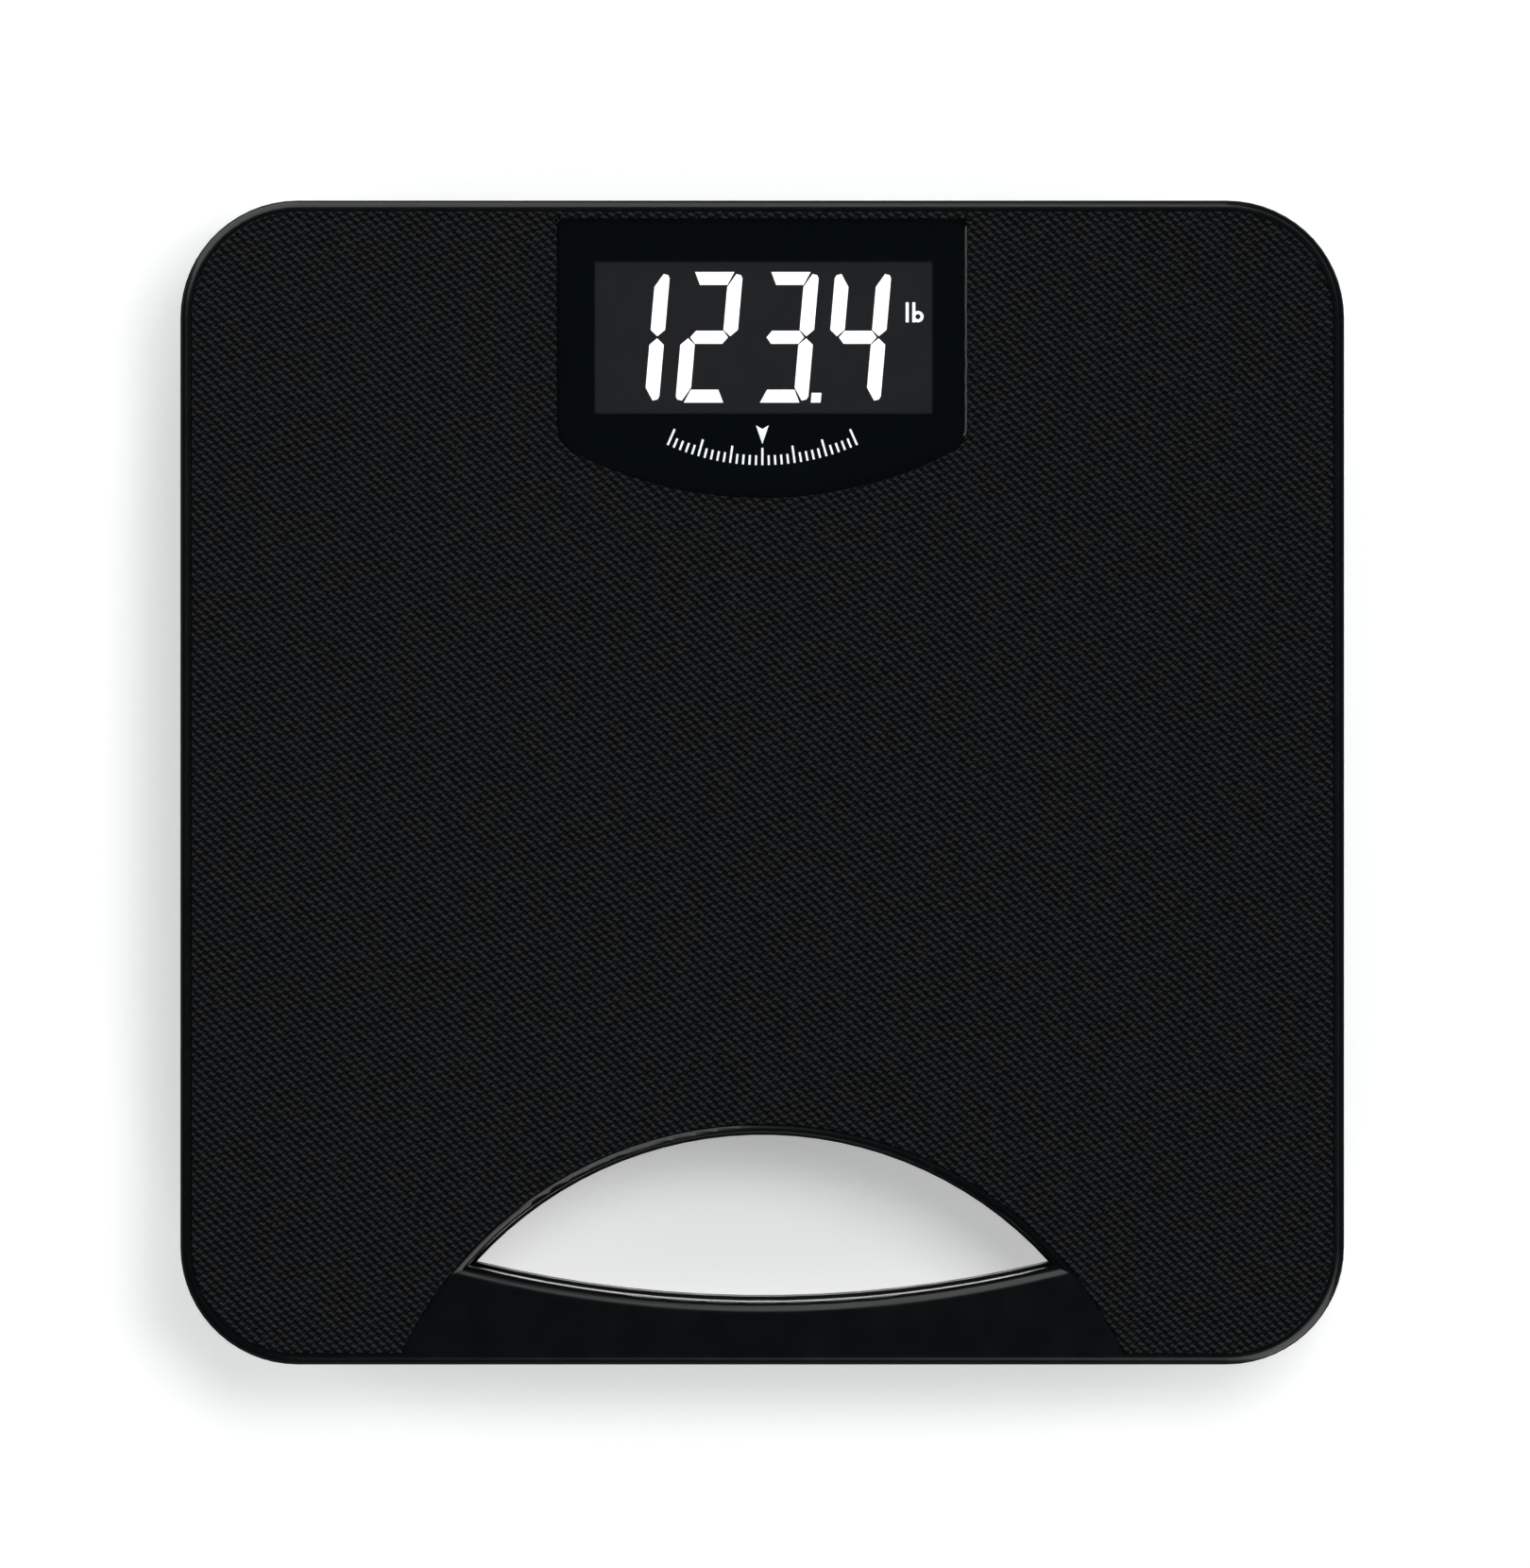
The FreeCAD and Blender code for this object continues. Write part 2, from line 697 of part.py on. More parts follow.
def top_mat():
    body = square_block(MAT_INSET, MAT_SEAT_Z, MAT_TOP_Z)
    bar = cylinder(0, PLATFORM_DISC_Y, MAT_BAR_R, MAT_SEAT_Z - OVERCUT, MAT_TOP_Z + OVERCUT)
    panel = panel_block(-PANEL_GAP, MAT_SEAT_Z - OVERCUT, MAT_TOP_Z + OVERCUT)
    body = body.cut([bar, panel])
    return body.makeFillet(MAT_ROUND, edges_at_level(body, MAT_TOP_Z))


# ---------------------------------------------------------------- base shell
def base_outer():
    """The tray's outside: flat under, with a large rounded edge, and the lip that enters the top shell."""
    tray = square_block(BASE_INSET, BASE_BOTTOM_Z, PARTING_Z)
    tray = tray.makeFillet(BASE_ROUND, edges_at_level(tray, BASE_BOTTOM_Z))
    return tray.fuse(square_block(TOP_WALL + LIP_GAP, PARTING_Z - OVERCUT, LIP_TOP_Z))


def base_hollow():
    hollow = square_block(BASE_INSET + BASE_WALL, BASE_FLOOR_Z, LIP_TOP_Z + OVERCUT)
    return hollow.makeFillet(BASE_INNER_ROUND, edges_at_level(hollow, BASE_FLOOR_Z))


def base_opening():
    high_z = BASE_COLLAR_TOP_Z + OVERCUT
    platform_side = flared_disc(
        PLATFORM_DISC_Y, PLATFORM_DISC_R, BASE_COLLAR_ROUND, BASE_BOTTOM_Z, high_z
    )
    bar_side = flared_disc(BAR_DISC_Y, BAR_DISC_R, BASE_COLLAR_ROUND, BASE_BOTTOM_Z, high_z)
    return platform_side.common(bar_side)


def foot_well():
    """The raised seat of a load cell, with the two bosses for its retainer's screws."""
    return cylinder(0, 0, WELL_R + WELL_WALL, BASE_BOTTOM_Z, CELL_SEAT_Z).fuse(
        [cylinder(side * EAR_X, 0, EAR_R, BASE_BOTTOM_Z, CELL_SEAT_Z) for side in (-1, 1)]
    )


def foot_well_holes():
    """The room for a foot cup, the hole for its boss, and the pilot holes of the retainer's screws."""
    holes = [
        cylinder(0, 0, WELL_R, BASE_BOTTOM_Z - OVERCUT, WELL_ROOF_UNDER_Z),
        cylinder(0, 0, WELL_HOLE_R, WELL_ROOF_UNDER_Z - OVERCUT, CELL_SEAT_Z + OVERCUT),
    ]
    for side in (-1, 1):
        holes.append(cylinder(side * EAR_X, 0, EAR_PILOT_R, BASE_FLOOR_Z, CELL_SEAT_Z + OVERCUT))
    return Part.makeCompound(holes)


def battery_box():
    """The walls and roof over the batteries, and the thick floor round the door."""
    outer_x = 2 * (BOX_HALF_X + BOX_WALL)
    outer_y = 2 * (BOX_HALF_Y + BOX_WALL)
    roof_z = BOX_CEILING_Z + BOX_ROOF_T
    walls = rounded_block(0, 0, outer_x, outer_y, BOX_WALL, BASE_BOTTOM_Z, roof_z)
    thick_floor = block(
        -DOOR_HALF_X - DOOR_PAD_MARGIN,
        DOOR_HALF_X + DOOR_PAD_MARGIN,
        SCOOP_Y - SCOOP_R - BOX_WALL,
        HINGE_HIGH_Y + DOOR_PAD_MARGIN,
        BASE_BOTTOM_Z,
        DOOR_PAD_TOP_Z,
    )
    return walls.fuse(thick_floor)


def battery_box_holes():
    """The room for the batteries, the door, its hinge and its latch, and the battery leads' holes."""
    low_z = BASE_BOTTOM_Z - OVERCUT
    hinge_end = HINGE_HALF_X + DOOR_GAP
    pin_end = HINGE_HALF_X + HINGE_PIN_LENGTH + DOOR_GAP
    door_low_y = DOOR_LOW_Y - DOOR_GAP
    door_high_y = DOOR_HIGH_Y + DOOR_GAP
    door_half_x = DOOR_HALF_X + DOOR_GAP
    holes = [
        block(-BOX_HALF_X, BOX_HALF_X, -BOX_HALF_Y, BOX_HALF_Y, low_z, BOX_CEILING_Z),
        block(-door_half_x, door_half_x, door_low_y, door_high_y, low_z, DOOR_ROOM_Z),
        block(-hinge_end, hinge_end, DOOR_HIGH_Y, HINGE_HIGH_Y, low_z, DOOR_ROOM_Z),
        rod_along_x(-hinge_end, hinge_end, HINGE_Y, HINGE_Z, HINGE_ROOM_R),
        rod_along_x(-pin_end, pin_end, HINGE_Y, HINGE_Z, HINGE_PIN_HOLE_R),
        block(
            -LATCH_SLOT_HALF_X,
            LATCH_SLOT_HALF_X,
            LATCH_SLOT_LOW_Y,
            LATCH_SLOT_HIGH_Y,
            low_z,
            DOOR_PAD_TOP_Z + OVERCUT,
        ),
        cylinder(0, SCOOP_Y, SCOOP_R, low_z, SCOOP_TOP_Z),
    ]
    for x in (battery_x(0), battery_x(BATTERY_COUNT - 1)):
        holes.append(
            rod_along_y(x, BOX_HALF_Y - OVERCUT, BOX_HALF_Y + BOX_WALL + OVERCUT, wire_z(), WIRE_HOLE_R)
        )
    return holes


def cradles():
    """Low ribs across the box that keep the batteries off its corners. They stand beside the door."""
    return [
        centred_block(side * (BOX_HALF_X - CRADLE_T / 2), 0, CRADLE_T, BATTERY_LENGTH / 2,
                      DOOR_ROOM_Z, CRADLE_TOP_Z)
        for side in (-1, 1)
    ]


def base_shell():
    body = base_outer().cut(base_hollow())
    added = [
        disc_overlap(
            PLATFORM_DISC_R + BASE_COLLAR_T,
            BAR_DISC_R + BASE_COLLAR_T,
            BASE_BOTTOM_Z,
            BASE_COLLAR_TOP_Z,
        ),
        battery_box(),
    ]
    added += at_all_feet(foot_well())
    for x, y in HOUSING_SCREW_PLACES:
        added.append(cylinder(x, y, HOUSING_BOSS_R, BASE_BOTTOM_Z, HOUSING_BASE_BOSS_TOP_Z))
    body = body.fuse(added)
    holes = [base_opening()] + at_all_feet(foot_well_holes()) + battery_box_holes()
    for x, y in HOUSING_SCREW_PLACES:
        holes.append(cylinder(x, y, HOUSING_SINK_R, BASE_BOTTOM_Z - OVERCUT, HOUSING_SINK_Z))
        holes.append(
            cylinder(x, y, HOUSING_HOLE_R, HOUSING_SINK_Z - OVERCUT, LIP_TOP_Z)
        )
    holes += [
        rounded_block(SWITCH_X, SWITCH_Y, SWITCH_RECESS_X, SWITCH_RECESS_Y, SWITCH_RECESS_R,
                      BASE_BOTTOM_Z - OVERCUT, SWITCH_RECESS_Z),
        centred_block(SWITCH_X, SWITCH_Y, SWITCH_SLOT_X, SWITCH_SLOT_Y,
                      BASE_BOTTOM_Z, BASE_FLOOR_Z + OVERCUT),
        rounded_block(LABEL_X, LABEL_Y, LABEL_SIZE_X + LABEL_MARGIN, LABEL_SIZE_Y + LABEL_MARGIN,
                      LABEL_CORNER_R, BASE_BOTTOM_Z - OVERCUT, BASE_BOTTOM_Z + LABEL_RECESS),
    ]
    return body.cut(holes).removeSplitter()


def rating_label():
    top_z = BASE_BOTTOM_Z + LABEL_RECESS
    return rounded_block(
        LABEL_X, LABEL_Y, LABEL_SIZE_X, LABEL_SIZE_Y, LABEL_CORNER_R, top_z - LABEL_T, top_z
    )


def housing_screws():
    return [
        screw(x, y, HOUSING_SINK_Z, HOUSING_SCREW_TIP_Z, HOUSING_SCREW_R)
        for x, y in HOUSING_SCREW_PLACES
    ]


# ---------------------------------------------------------------- display
def display_lens():
    """The clear lens, with a shallow bevel round its top."""
    lens = panel_block(0, LENS_BOTTOM_Z, LENS_TOP_Z)
    return lens.makeChamfer(LENS_BEVEL_DOWN, LENS_BEVEL_ACROSS, edges_at_level(lens, LENS_TOP_Z))


def lens_mask():
    """The printed black film under the lens, with the window left clear."""
    sheet = panel_block(MASK_INSET, MASK_BOTTOM_Z, MASK_TOP_Z)
    return sheet.cut(window_block(WINDOW_W, WINDOW_H, MASK_BOTTOM_Z - OVERCUT, LENS_TOP_Z))


def lens_seal():
    """The adhesive ring between the lens and the top shell's ledge."""
    ring = panel_block(SEAL_INSET, SEAL_BOTTOM_Z, MASK_BOTTOM_Z)
    return ring.cut(panel_block(SEAL_INSET + SEAL_WIDTH, SEAL_BOTTOM_Z - OVERCUT, LENS_TOP_Z))


def lcd_glass():
    """Two glass plates. The front one is longer, and its contacts face down beyond the back one."""
    middle_z = GLASS_TOP_Z - GLASS_T
    front = window_block(GLASS_W, GLASS_H, middle_z, GLASS_TOP_Z)
    back = centred_block(
        WINDOW_X, WINDOW_Y + GLASS_LEDGE / 2, GLASS_W, GLASS_H - GLASS_LEDGE, middle_z - GLASS_T, middle_z
    )
    return front.fuse(back)


def mirrored(points, across, along):
    """Segment points mirrored across the digit's middle, either way."""
    return [
        (DIGIT_W - u if across else u, DIGIT_H - v if along else v)
        for u, v in points
    ]


def segment_outlines():
    """The outline of each segment in its digit's upright box, by its usual letter."""
    half = STROKE_ALONG / 2
    middle = DIGIT_H / 2
    side = STROKE_ACROSS
    upright = [
        (0, STROKE_ALONG),
        (0, SEGMENT_TIP),
        (SEGMENT_TIP / 4, SEGMENT_TIP / 2),
        (SEGMENT_TIP, SEGMENT_GAP),
        (side, STROKE_ALONG + SEGMENT_GAP),
        (side, middle - half - SEGMENT_GAP / 2),
        (side / 2, middle - SEGMENT_GAP / 2),
        (0, middle - half - SEGMENT_GAP / 2),
    ]
    level = [
        (SEGMENT_TIP + SEGMENT_GAP, 0),
        (DIGIT_W - SEGMENT_TIP - SEGMENT_GAP, 0),
        (DIGIT_W - side, STROKE_ALONG),
        (side, STROKE_ALONG),
    ]
    bar = [
        (side / 2 + SEGMENT_GAP, middle),
        (side, middle + half),
        (DIGIT_W - side, middle + half),
        (DIGIT_W - side / 2 - SEGMENT_GAP, middle),
        (DIGIT_W - side, middle - half),
        (side, middle - half),
    ]
    return {
        "a": mirrored(level, False, True),
        "b": mirrored(upright, True, True),
        "c": mirrored(upright, True, False),
        "d": level,
        "e": upright,
        "f": mirrored(upright, False, True),
        "g": bar,
    }


def leaning_prism(points, left):
    """A segment at its place on the glass, leaning to the right."""
    placed = [(left + u + DIGIT_LEAN * v, DIGIT_BASE_Y + v) for u, v in points]
    return prism(placed, GLASS_TOP_Z, GLASS_TOP_Z + SEGMENT_T)


def unit_mark():
    """The letters of the pound, l and b."""
    top_z = GLASS_TOP_Z + SEGMENT_T
    top_y = UNIT_Y + UNIT_H
    stem_x = UNIT_X + UNIT_STEM_STEP
    bowl_x = stem_x + UNIT_BOWL_R
    bowl_y = UNIT_Y + UNIT_BOWL_R
    first = block(UNIT_X, UNIT_X + UNIT_STROKE, UNIT_Y, top_y, GLASS_TOP_Z, top_z)
    stem = block(stem_x, stem_x + UNIT_STROKE, UNIT_Y, top_y, GLASS_TOP_Z, top_z)
    bowl = cylinder(bowl_x, bowl_y, UNIT_BOWL_R, GLASS_TOP_Z, top_z)
    eye = cylinder(bowl_x, bowl_y, UNIT_BOWL_R - UNIT_STROKE, GLASS_TOP_Z, top_z)
    return [first, bowl.cut(eye).fuse(stem)]


def lcd_segments():
    outlines = segment_outlines()
    solids = []
    for left, letters in zip(DIGIT_LEFTS, DIGIT_SEGMENTS):
        solids += [leaning_prism(outlines[letter], left) for letter in letters]
    point = [(0, 0), (POINT_SIZE, 0), (POINT_SIZE, POINT_SIZE), (0, POINT_SIZE)]
    solids.append(leaning_prism(point, POINT_X))
    return solids + unit_mark()


def lcd_backlight():
    body = window_block(LIGHT_W, LIGHT_H, LIGHT_BOTTOM_Z, LIGHT_TOP_Z)
    return body.makeChamfer(HOLDER_GAP, edges_at_level(body, LIGHT_TOP_Z))


def contact_strip_y():
    """The middle of the contact strip, in line with the front glass's ledge."""
    return WINDOW_Y - GLASS_H / 2 + STRIP_FROM_GLASS + STRIP_T / 2


def lcd_holder():
    """The frame that stands on the board and holds the glass, the backlight and the contact strip."""
    shelf_z = GLASS_TOP_Z - 2 * GLASS_T
    frame = window_block(HOLDER_W, HOLDER_H, BOARD_TOP_Z, GLASS_TOP_Z)
    low_z = BOARD_TOP_Z - OVERCUT
    strip_slot = centred_block(
        WINDOW_X,
        contact_strip_y(),
        2 * (STRIP_HALF_X + STRIP_SIDE_GAP),
        STRIP_T + 2 * STRIP_SIDE_GAP,
        low_z,
        GLASS_TOP_Z,
    )
    hollow = [
        window_block(GLASS_W + 2 * HOLDER_GAP, GLASS_H + 2 * HOLDER_GAP, shelf_z, GLASS_TOP_Z + OVERCUT),
        window_block(LIGHT_W + HOLDER_GAP, LIGHT_H + HOLDER_GAP, low_z, GLASS_TOP_Z),
        strip_slot,
    ]
    return frame.cut(hollow)


def contact_strip():
    """The rubber strip that joins the board's contacts to the glass's."""
    return centred_block(
        WINDOW_X, contact_strip_y(), 2 * STRIP_HALF_X, STRIP_T, BOARD_TOP_Z, GLASS_TOP_Z - GLASS_T
    )


# ---------------------------------------------------------------- board
def board_screw_places():
    return [(side * BOARD_SCREW_X, y) for side in (-1, 1) for y in BOARD_SCREW_YS]


def main_board():
    middle_y = (BOARD_LOW_Y + BOARD_HIGH_Y) / 2
    length = BOARD_HIGH_Y - BOARD_LOW_Y
    board = rounded_block(
        0, middle_y, 2 * BOARD_HALF_X, length, BOARD_CORNER_R, BOARD_BOTTOM_Z, BOARD_TOP_Z
    )
    holes = [
        cylinder(x, y, BOARD_HOLE_R, BOARD_BOTTOM_Z - OVERCUT, BOARD_TOP_Z + OVERCUT)
        for x, y in board_screw_places()
    ]
    return board.cut(holes)


def board_screws():
    return [
        screw(x, y, BOARD_BOTTOM_Z, BOARD_SCREW_TIP_Z - OVERCUT, BOARD_SCREW_R)
        for x, y in board_screw_places()
    ]


def controller_chip():
    """The chip hangs under the board on two rows of legs."""
    body = centred_block(CHIP_X, CHIP_Y, CHIP_SIZE, CHIP_SIZE, CHIP_BOTTOM_Z, CHIP_TOP_Z)
    legs = []
    for number in range(CHIP_LEGS):
        x = CHIP_X + (number - (CHIP_LEGS - 1) / 2) * CHIP_LEG_PITCH
        for side in (-1, 1):
            y = CHIP_Y + side * (CHIP_SIZE + CHIP_LEG_OUT) / 2
            legs.append(
                centred_block(x, y, CHIP_LEG_W, CHIP_LEG_OUT, CHIP_LEG_BOTTOM_Z, BOARD_BOTTOM_Z)
            )
    return body.fuse(legs)


def under_board(x, y, size_x, size_y, height):
    return centred_block(x, y, size_x, size_y, BOARD_BOTTOM_Z - height, BOARD_BOTTOM_Z)


def board_components():
    """Two capacitors, a crystal, a transistor and rows of small resistors, under the board."""
    parts = [
        cylinder(x, CAPACITOR_Y, CAPACITOR_R, BOARD_BOTTOM_Z - CAPACITOR_H, BOARD_BOTTOM_Z)
        for x in CAPACITOR_XS
    ]
    crystal = under_board(CRYSTAL_X, CRYSTAL_Y, CRYSTAL_SIZE_X, CRYSTAL_SIZE_Y, CRYSTAL_H)
    parts.append(crystal.makeFillet(CRYSTAL_ROUND, upright_edges(crystal)))
    parts.append(
        under_board(
            TRANSISTOR_X, TRANSISTOR_Y, TRANSISTOR_SIZE_X, TRANSISTOR_SIZE_Y, TRANSISTOR_H
        )
    )
    for row in range(RESISTOR_ROWS):
        y = RESISTOR_Y + row * RESISTOR_PITCH_Y
        for column in range(RESISTOR_COLUMNS):
            x = RESISTOR_X + column * RESISTOR_PITCH_X
            parts.append(under_board(x, y, RESISTOR_SIZE_X, RESISTOR_SIZE_Y, RESISTOR_H))
    return parts


def socket(x, width):
    """A lead's socket under the board. Its mouth faces -Y."""
    z = BOARD_BOTTOM_Z - SOCKET_H
    body = block(x - width / 2, x + width / 2, SOCKET_Y, SOCKET_Y + SOCKET_DEPTH, z, BOARD_BOTTOM_Z)
    return body.makeChamfer(SOCKET_CHAMFER, upright_edges(body))


def board_sockets():
    sockets = [socket(x, CELL_SOCKET_W) for x in CELL_SOCKET_XS]
    sockets.append(socket(BATTERY_SOCKET_X, BATTERY_SOCKET_W))
    sockets.append(socket(SWITCH_SOCKET_X, CELL_SOCKET_W))
    return sockets


# ---------------------------------------------------------------- feet and load cells
def load_cell():
    """A steel plate with a tongue that bends when the foot's boss presses on it from below."""
    top_z = CELL_SEAT_Z + CELL_T
    plate = rounded_block(0, 0, CELL_SIZE_X, CELL_SIZE_Y, CELL_CORNER_R, CELL_SEAT_Z, top_z)
    low_z = CELL_SEAT_Z - OVERCUT
    high_z = top_z + OVERCUT
    slot_half_x = TONGUE_HALF_X + TONGUE_SLOT
    slot = block(
        -slot_half_x, slot_half_x, TONGUE_LOW_Y - TONGUE_SLOT, TONGUE_HIGH_Y, low_z, high_z
    )
    slot = slot.cut(block(-TONGUE_HALF_X, TONGUE_HALF_X, TONGUE_LOW_Y, TONGUE_HIGH_Y, low_z, high_z))
    return plate.cut([slot, cylinder(0, 0, TONGUE_HOLE_R, low_z, high_z)])


def strain_gauge():
    """The gauge on the tongue's root, under its soft coating."""
    body = block(
        -GAUGE_HALF_X, GAUGE_HALF_X, GAUGE_LOW_Y, GAUGE_HIGH_Y, CELL_SEAT_Z + CELL_T, GAUGE_TOP_Z
    )
    return body.makeFillet(GAUGE_ROUND, edges_at_level(body, GAUGE_TOP_Z))


def cell_retainer():
    """The frame that holds a load cell's edge down. Its notch lets the lead out."""
    cell_top_z = CELL_SEAT_Z + CELL_T
    notch_y = RETAINER_WINDOW_Y / 2 - OVERCUT
    frame = centred_block(0, 0, RETAINER_X, RETAINER_Y, CELL_SEAT_Z, RETAINER_TOP_Z)
    ears = [cylinder(side * EAR_X, 0, EAR_R, CELL_SEAT_Z, EAR_TOP_Z) for side in (-1, 1)]
    bridge = centred_block(0, 0, 2 * EAR_X, 2 * EAR_R, CELL_SEAT_Z, EAR_TOP_Z)
    holes = [
        centred_block(
            0,
            0,
            CELL_SIZE_X + 2 * RETAINER_GAP,
            CELL_SIZE_Y + 2 * RETAINER_GAP,
            CELL_SEAT_Z - OVERCUT,
            cell_top_z + RETAINER_GAP / 2,
        ),
        centred_block(
            0, 0, RETAINER_WINDOW_X, RETAINER_WINDOW_Y, CELL_SEAT_Z, RETAINER_TOP_Z + OVERCUT
        ),
        block(
            -RETAINER_NOTCH_HALF,
            RETAINER_NOTCH_HALF,
            notch_y,
            RETAINER_Y / 2 + OVERCUT,
            cell_top_z - RETAINER_GAP,
            RETAINER_TOP_Z + OVERCUT,
        ),
    ]
    for side in (-1, 1):
        holes.append(
            cylinder(side * EAR_X, 0, EAR_HOLE_R, CELL_SEAT_Z - OVERCUT, EAR_TOP_Z + OVERCUT)
        )
    return frame.fuse(ears + [bridge]).cut(holes).removeSplitter()


def retainer_screw_pair():
    return Part.makeCompound(
        [
            screw(side * EAR_X, 0, EAR_TOP_Z, BASE_FLOOR_Z + OVERCUT, RETAINER_SCREW_R)
            for side in (-1, 1)
        ]
    )


def foot_cup():
    """The cup carries the rubber pad below, and its boss presses on the load cell's tongue above."""
    body = cylinder(0, 0, CUP_R, CUP_BOTTOM_Z, CUP_TOP_Z)
    body = body.makeFillet(CUP_EDGE_ROUND, edges_at_level(body, CUP_BOTTOM_Z))
    body = body.cut(cylinder(0, 0, CUP_R - CUP_WALL, CUP_FLOOR_Z, CUP_TOP_Z + OVERCUT))
    body = body.cut(cylinder(0, 0, PAD_R + PAD_GAP, CUP_BOTTOM_Z - OVERCUT, PAD_TOP_Z))
    inner_span = 2 * CUP_R - CUP_WALL
    inner = [
        cylinder(0, 0, BOSS_R, CUP_FLOOR_Z - OVERCUT, CELL_SEAT_Z),
        cylinder(0, 0, PEG_R, CELL_SEAT_Z - OVERCUT, PEG_TOP_Z - OVERCUT),
        Part.makeCone(BARB_R, PEG_R / 2, PEG_TOP_Z - BARB_Z, vector(0, 0, BARB_Z)),
        centred_block(0, 0, inner_span, RIB_T, CUP_FLOOR_Z - OVERCUT, CUP_RIB_TOP_Z),
        centred_block(0, 0, RIB_T, inner_span, CUP_FLOOR_Z - OVERCUT, CUP_RIB_TOP_Z),
    ]
    return body.fuse(inner).removeSplitter()


def foot_pad():
    """The rubber pad, with round grooves in its sole."""
    body = cylinder(0, 0, PAD_R, 0, PAD_TOP_Z)
    body = body.makeFillet(PAD_EDGE_ROUND, edges_at_level(body, 0))
    for radius in PAD_GROOVE_RS:
        ring = cylinder(0, 0, radius + PAD_GROOVE_W, -OVERCUT, PAD_GROOVE_DEPTH)
        body = body.cut(ring.cut(cylinder(0, 0, radius, -OVERCUT, PAD_GROOVE_DEPTH)))
    return body


def cell_lead(side_x, side_y):
    """A load cell's lead. It lies on the base's floor and rises to its socket."""
    inner_x, outer_x = CELL_SOCKET_XS[2:]
    if side_y < 0:
        floor_corners = FRONT_LEAD_CORNERS
        rise_y = FRONT_LEAD_RISE_Y
        socket_x = side_x * inner_x
    else:
        floor_corners = DISPLAY_LEAD_CORNERS
        rise_y = DISPLAY_LEAD_RISE_Y
        socket_x = side_x * outer_x
    gauge_y = side_y * (FOOT_Y - GAUGE_HIGH_Y)
    edge_y = side_y * (FOOT_Y - RETAINER_Y / 2 - CELL_LEAD_OUT)
    route = [
        vector(side_x * FOOT_X, gauge_y, LEAD_START_Z),
        vector(side_x * FOOT_X, edge_y, LEAD_START_Z),
    ]
    route += [vector(side_x * x, y, LEAD_FLOOR_Z) for x, y in floor_corners]
    route.append(vector(socket_x, rise_y, LEAD_END_Z))
    route.append(vector(socket_x, SOCKET_Y, LEAD_END_Z))
    return three_core_lead(route, LEAD_BEND)


# ---------------------------------------------------------------- batteries
def battery_x(number):
    return (number - (BATTERY_COUNT - 1) / 2) * BATTERY_PITCH


def nub_end(number):
    """+1 where the battery's positive end is at +Y, else -1."""
    return 1 if number % 2 == 0 else -1


def battery(number):
    x = battery_x(number)
    half = BATTERY_LENGTH / 2
    end = nub_end(number)
    can = rod_along_y(x, -half, half - NUB_H, BATTERY_Z, BATTERY_R)
    can = can.makeFillet(BATTERY_EDGE_ROUND, [edge for edge in can.Edges if not edge_is_seam(edge)])
    nub = rod_along_y(x, half - NUB_H - OVERCUT, half, BATTERY_Z, NUB_R)
    cell = can.fuse(nub)
    if end < 0:
        cell.rotate(vector(x, 0, BATTERY_Z), vector(0, 0, 1), 180)
    return cell


def edge_is_seam(edge):
    return len(edge.Vertexes) == 2


def contact_plate(x0, x1, end):
    """A flat plate against the box's end wall, over one battery or two."""
    near, far = sorted((end * BOX_HALF_Y, end * (BOX_HALF_Y - PLATE_T)))
    return block(x0 - PLATE_HALF_W, x1 + PLATE_HALF_W, near, far, PLATE_LOW_Z, PLATE_HIGH_Z)


def dimple(number):
    """The raised middle of a plate, which touches a battery's positive end."""
    end = nub_end(number)
    near, far = sorted((end * BATTERY_LENGTH / 2, end * (BOX_HALF_Y - PLATE_T / 2)))
    return rod_along_y(battery_x(number), near, far, BATTERY_Z, DIMPLE_R)


def battery_plates():
    last = BATTERY_COUNT - 1
    xs = [battery_x(number) for number in range(BATTERY_COUNT)]
    spans = [(0, 1, -1), (2, 3, -1), (0, 0, 1), (1, 2, 1), (last, last, 1)]
    plates = []
    for first, second, end in spans:
        plate = contact_plate(xs[first], xs[second], end)
        for number in sorted({first, second}):
            if nub_end(number) == end:
                plate = plate.fuse(dimple(number))
        plates.append(plate)
    return plates


def battery_springs():
    """A tapered spring of close turns against each battery's negative end."""
    springs = []
    for number in range(BATTERY_COUNT):
        end = -nub_end(number)
        turns = []
        for turn in range(SPRING_TURNS):
            y = end * (BOX_HALF_Y - PLATE_T - SPRING_WIRE_R - turn * SPRING_STEP)
            radius = SPRING_R - turn * SPRING_TAPER
            centre = vector(battery_x(number), y, BATTERY_Z)
            turns.append(Part.makeTorus(radius, SPRING_WIRE_R, centre, vector(0, 1, 0)))
        springs.append(turns[0].fuse(turns[1:]))
    return springs


def wire_z():
    """The height at which the battery leads leave the box."""
    return PLATE_HIGH_Z - WIRE_HOLE_R


def battery_lead(side, socket_x, corner):
    """One battery lead, from its plate, through the box's wall, to its socket."""
    x = side * battery_x(BATTERY_COUNT - 1)
    corner_x, corner_y = corner
    route = [
        vector(x, BOX_HALF_Y, wire_z()),
        vector(x, BOX_HALF_Y + BATTERY_LEAD_OUT, wire_z()),
        vector(corner_x, corner_y, wire_z()),
        vector(socket_x, corner_y + BATTERY_LEAD_RISE, LEAD_END_Z),
        vector(socket_x, SOCKET_Y, LEAD_END_Z),
    ]
    return tube(route, BATTERY_LEAD_R, BATTERY_LEAD_BEND)


def battery_lead_negative():
    return battery_lead(-1, BATTERY_SOCKET_X - BATTERY_PIN_X, NEGATIVE_LEAD_CORNER)


def battery_lead_positive():
    return battery_lead(1, BATTERY_SOCKET_X + BATTERY_PIN_X, POSITIVE_LEAD_CORNER)


